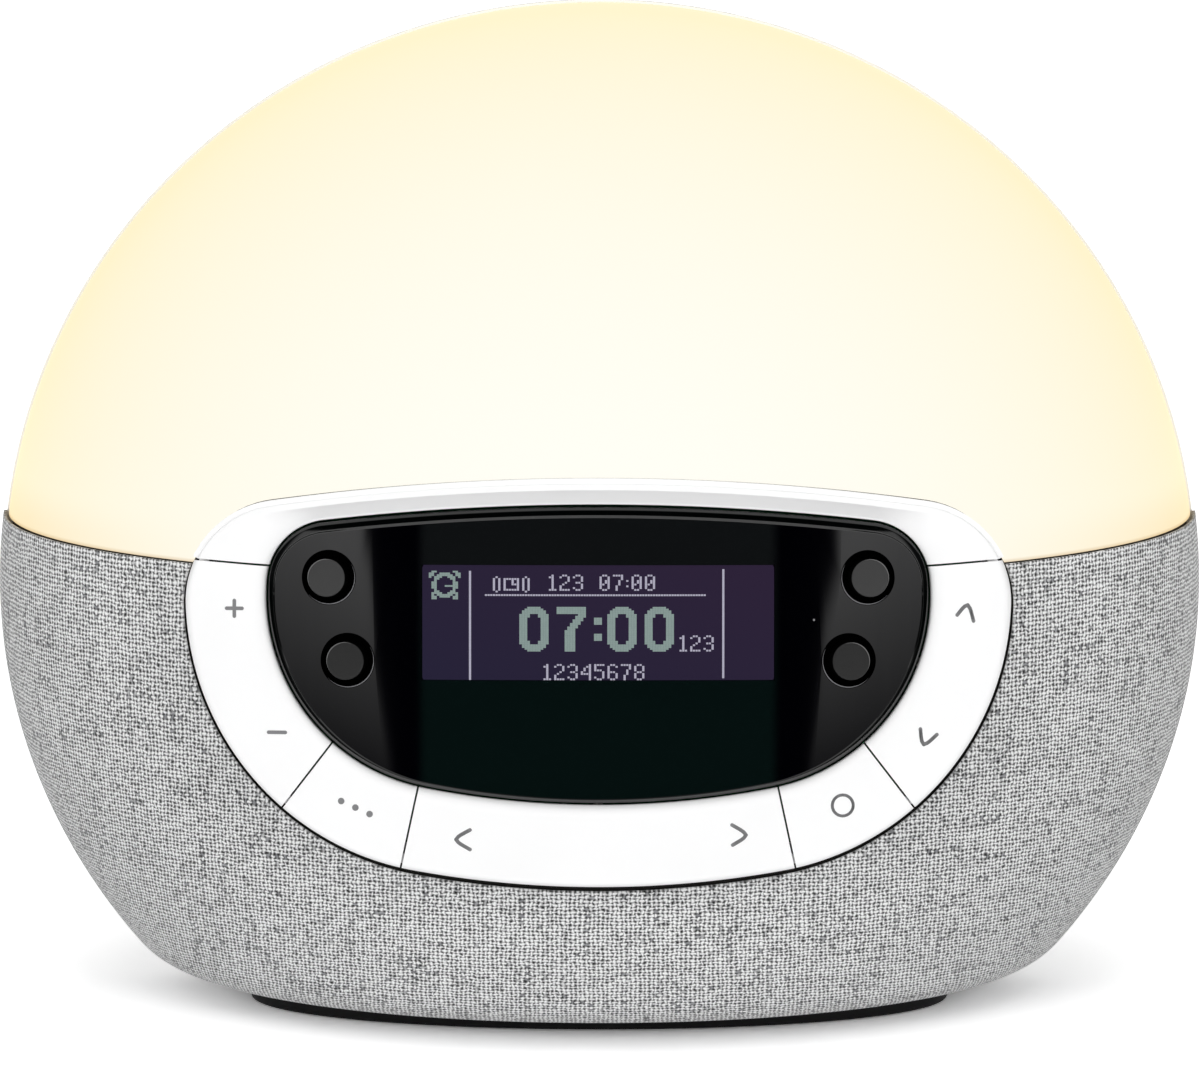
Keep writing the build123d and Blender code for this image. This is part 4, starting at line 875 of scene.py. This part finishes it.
def edgeLine(name, plane, radius, middle, spread, height, bodyName, material, count=40):
    # a sliver along part of a circle, widest in the middle and closed to nothing at both ends
    origin, side, up, out = plane
    angle = radians(middle) + np.linspace(-1, 1, count) * radians(spread)
    half = buttonValues["lineWidth"] / 2 * np.cos(np.linspace(-pi / 2, pi / 2, count))
    half = half + buttonValues["lineTip"]
    section = np.array([[-1, 0], [0, 0.5], [1, 0], [0, -1]])
    reach = radius + section[:, 0] * half[:, None]
    ring = np.cos(angle)[:, None, None] * side + np.sin(angle)[:, None, None] * up
    points = origin + reach[..., None] * ring + (height + section[:, 1] * half[:, None])[..., None] * out
    index = np.arange(count * 4).reshape(count, 4)
    around = np.roll(index, -1, axis=1)
    faces = np.stack([index[:-1], around[:-1], around[1:], index[1:]], -1).reshape(-1, 4).tolist()
    faces += [index[0][::-1].tolist(), index[-1].tolist()]
    makeMesh(name, points.reshape(-1, 3) * mm, faces, material, bodyName, smoothAngle=80)


def buttonCap(name, node, side, spot, rubber, turns=64):
    # flange, stem and a crowned cap with a rounded edge: radius and height turned about the panel's normal
    lean = np.arcsin(side * buttonValues["column"] / panel["bendRadius"])
    out = np.sin(lean) * panel["side"] + np.cos(lean) * panel["out"]
    across = np.cos(lean) * panel["side"] - np.sin(lean) * panel["out"]
    depth = panel["bendRadius"] * (np.cos(lean) - 1)
    origin = (panel["origin"] + side * buttonValues["column"] * panel["side"]
              + buttonValues["level"] * panel["up"] + depth * panel["out"] + spot[0] * across
              + spot[1] * panel["up"])
    cap, edge, proud, flange = [buttonValues[key] for key in ("cap", "edge", "proud", "flange")]
    foot, shelf = -buttonValues["foot"], buttonValues["flangeHeight"] - buttonValues["foot"]
    corner = arc((cap - edge, proud - edge), edge, 0, pi / 2, 7)
    crown = [(cap * share, proud + rise) for share, rise in buttonValues["crown"]]
    profile = np.array([(0.001, foot), (flange, foot), (flange, shelf), (cap, shelf), *corner, *crown,
                        (0.001, proud + buttonValues["peak"])])
    angle = np.linspace(0, 2 * pi, turns, endpoint=False)[:, None, None]
    ring = np.cos(angle) * across + np.sin(angle) * panel["up"]
    points = origin + profile[:, :1] * ring + profile[:, 1:] * out
    faces = gridFaces(turns, len(profile), closed=True)
    piece = makeMesh(name, points.reshape(-1, 3) * mm, faces, rubber, node)
    # the face reaches down over a share of the rounded edge; below it, the cap's wall and the flange down in
    # the hole take a near black painted shade
    piece.data.materials.append(finish["nylonPaintedShade"])
    heights = np.tile(profile[:, 1], turns)
    low = heights[faces].min(1) < proud - buttonValues["faceShare"] * edge
    piece.data.polygons.foreach_set("material_index", low.astype(np.int32))
    # painted highlights: a pale sliver on the hole's lower inner edge and on the cap's upper outer edge
    plane = (origin, across, panel["up"], out)
    for label, radius, values, top, bodyName, material in (
            ("HoleEdge", buttonValues["lip"], buttonValues["lipLine"], 0, "housing", "acrylicPaintedHighlight"),
            ("CapEdge", cap - buttonValues["capLineInset"], buttonValues["capLine"], proud, node,
             "siliconePaintedHighlight")):
        middle, spread, height = values
        middle = middle if side < 0 else np.sign(middle) * 180 - middle
        edgeLine(name.replace("Button", label), plane, radius, middle, spread, top + height, bodyName,
                 finish[material])
    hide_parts(node)


# the lower caps take the darker copy of the rubber: painted shade
levels = ((1, "upper", "siliconeMouldedDark"), (-1, "lower", "siliconeMouldedPaintedShade"))
for side, sideName in ((-1, "left"), (1, "right")):
    for sign, levelName, rubber in levels:
        spot = (sign * side * buttonValues["lean"], sign * buttonValues["halfPitch"])
        buttonCap(f"{levelName}{sideName.title()}Button", f"button_{levelName}_{sideName}", side, spot,
                  finish[rubber])
print("stage: buttons")

# the display's grid of dots: columns and rows over its width and height; the thick dots fill more of their
# cell across than the thin ones, and a cell is dotShape times as wide as it is high
displayValues = dict(width=58.4, height=19.0, level=13.7, columns=132, rows=64, thick=0.97, thin=0.8,
                     tall=0.97, proud=0.02, depth=0.06, shift=-0.25, dotShape=1.49)
# small figures nine dots high, read from the top row down
figureRows = {
    "0": ".##. #..# #..# #.## #.## ##.# #..# #..# .##.",
    "1": ".#. ##. .#. .#. .#. .#. .#. .#. ###",
    "2": ".##. #..# ...# ...# ..#. .#.. #... #... ####",
    "3": ".##. #..# ...# ...# .##. ...# ...# #..# .##.",
    "4": "...# ..## .#.# .#.# #..# #### ...# ...# ...#",
    "5": "#### #... #... ###. ...# ...# ...# #..# .##.",
    "6": ".##. #..# #... #... ###. #..# #..# #..# .##.",
    "7": "#### ...# ...# ..#. ..#. ..#. .#.. .#.. .#..",
    "8": ".##. #..# #..# #..# .##. #..# #..# #..# .##.",
    "9": ".##. #..# #..# #..# .### ...# ...# #..# .##.",
    ":": ". . . # . . # . .",
}


def smallText(canvas, text, column, row):
    # small figures one dot apart
    for letter in text:
        dots = np.array([[mark == "#" for mark in line] for line in figureRows[letter].split()])
        canvas[row:row + dots.shape[0], column:column + dots.shape[1]] |= dots
        column += dots.shape[1] + 1


def dotGrid(width, height, dotShape=1.0):
    # places of a glyph's dots from its middle, in dot heights
    rows, columns = np.mgrid[0:height, 0:width]
    return (columns - (width - 1) / 2) * dotShape, rows - (height - 1) / 2


def bigZero(width=11, height=25, stroke=3):
    # a rounded ring: inside the outer superellipse and outside the inner one
    x, y = dotGrid(width, height)
    outer = np.abs(x / (width / 2)) ** 2.6 + np.abs(y / (height / 2)) ** 3.4 <= 1
    inner = np.abs(x / (width / 2 - stroke)) ** 2.2 + np.abs(y / (height / 2 - 1.35 * stroke)) ** 3 <= 1
    return outer & ~inner


def bigSeven(width=11, height=25, stroke=4):
    # a bar on top and a leg below it that slants, then drops straight
    rows, columns = np.mgrid[0:height, 0:width]
    leg = np.maximum(width - 1.9 - (rows - stroke) * 0.52, 4.6)
    return (rows < stroke) | ((np.abs(columns - leg) < 1.6) & (rows >= stroke))


def alarmMark(width=12, height=16):
    # a clock face ring with hands, two bells above and two feet below; dots are wider than high
    x, y = dotGrid(width, height, displayValues["dotShape"])
    distance, fromDiagonal = np.hypot(x, y), np.abs(np.abs(x) - np.abs(y))
    face = np.abs(distance - 6.0) < 1.0
    hands = ((np.abs(x) < 0.7) & (y <= 0.5) & (y > -4)) | ((np.abs(y - 0.5) < 0.6) & (x >= 0) & (x < 4.5))
    bells = (np.abs(distance - 9.6) < 1.2) & (fromDiagonal < 4.2) & (y < 0)
    feet = (np.abs(distance - 9.2) < 1.2) & (fromDiagonal < 2.6) & (y > 0)
    return face | hands | bells | feet


def chimeMark(width=14, height=9):
    # a small clock between two pairs of arcs
    x, y = dotGrid(width, height, displayValues["dotShape"])
    distance = np.hypot(x, y)
    near = np.minimum(np.abs(distance - 9.6), np.abs(distance - 7.0))
    arcs = (near < 0.75) & (np.abs(y) < 0.55 * np.abs(x))
    box = (np.abs(np.maximum(np.abs(x), np.abs(y) * 1.2) - 3.9) < 0.8) & (np.abs(x) < 4.7)
    hands = ((np.abs(x - 0.75) < 0.8) & (y <= 0) & (y > -3)) | ((y == 0) & (x > 0) & (x < 3))
    return arcs | box | hands


def displayDots(name, canvas, material, fill):
    # one small closed box for each lit dot, laid on the bent display
    rows, columns = np.nonzero(canvas)
    pitch = np.array([displayValues["width"] / displayValues["columns"],
                      displayValues["height"] / displayValues["rows"]])
    across = (columns + 0.5) * pitch[0] - displayValues["width"] / 2 + displayValues["shift"]
    up = displayValues["level"] + displayValues["height"] / 2 - (rows + 0.5) * pitch[1]
    corners = np.array([[-1, -1], [1, -1], [1, 1], [-1, 1]]) * pitch / 2 * [fill, displayValues["tall"]]
    lift = displayValues["proud"] - panel["recess"]
    x, y = across[:, None] + corners[:, 0], up[:, None] + corners[:, 1]
    layers = [panelPoints(x, y, height).reshape(-1, 4, 3) for height in (lift, lift - displayValues["depth"])]
    box = np.array([[0, 1, 2, 3], [7, 6, 5, 4], [0, 4, 5, 1], [1, 5, 6, 2], [2, 6, 7, 3], [3, 7, 4, 0]])
    faces = (np.arange(len(rows)) * 8)[:, None, None] + box
    makeMesh(name, np.concatenate(layers, axis=1).reshape(-1, 3), faces.reshape(-1, 4), material)


def buildDisplay():
    # rules, small figures and the chime in thin dots, the time and the alarm clock in thick ones
    size = (displayValues["rows"], displayValues["columns"])
    small, large = np.zeros(size, bool), np.zeros(size, bool)
    small[3:64, 18] = True
    small[2:63, 113] = True
    small[16, 24:107] = True
    small[6:15, 27:41] |= chimeMark()
    for text, column, row in (("123", 48, 5), ("07:00", 67, 5), ("123", 97, 39), ("12345678", 46, 55)):
        smallText(small, text, column, row)
    large[3:19, 3:15] |= alarmMark()
    for column, glyph in ((37, bigZero()), (51, bigSeven()), (70, bigZero()), (84, bigZero())):
        large[23:48, column:column + glyph.shape[1]] |= glyph
    for row in (29, 38):
        large[row:row + 4, 65:68] = True
    displayDots("displayDigits", large, litDots("dotsPaleGreen", "#7c8f8b"), displayValues["thick"])
    displayDots("displaySymbols", small, litDots("dotsPaleViolet", "#a7a4b6"), displayValues["thin"])


buildDisplay()
print("stage: display")


def basePlinth():
    # an oval puck: a side profile with rounded edges carried round the oval, closed over top and underside
    base = dict(halfWidth=61.3, halfDepth=24.0, centre=-13.7, low=0.3, high=4.5, edge=0.7, flatInset=18.0,
                turns=240)
    low, high, edge = base["low"], base["high"], base["edge"]
    under = arc((edge, low + edge), edge, -pi / 2, -pi, 6)
    over = arc((edge, high - edge), edge, pi, pi / 2, 6)
    middleInset = base["halfDepth"] - 0.01
    flatInset = base["flatInset"]
    profile = np.array([(middleInset, low), (flatInset, low), *under, *over, (flatInset, high),
                        (middleInset, high)])
    inset, level = profile.T
    angle = np.linspace(0, 2 * pi, base["turns"], endpoint=False)[:, None]
    points = np.stack([(base["halfWidth"] - inset) * np.cos(angle),
                       body["seamY"] + base["centre"] + (base["halfDepth"] - inset) * np.sin(angle),
                       np.broadcast_to(level, (base["turns"], len(level)))], -1)
    faces = gridFaces(base["turns"], len(level), closed=True)
    piece = makeMesh("basePlinth", points.reshape(-1, 3) * mm, faces, finish["absMouldedBlack"])
    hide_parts("base_plinth")


basePlinth()
print("stage: base")
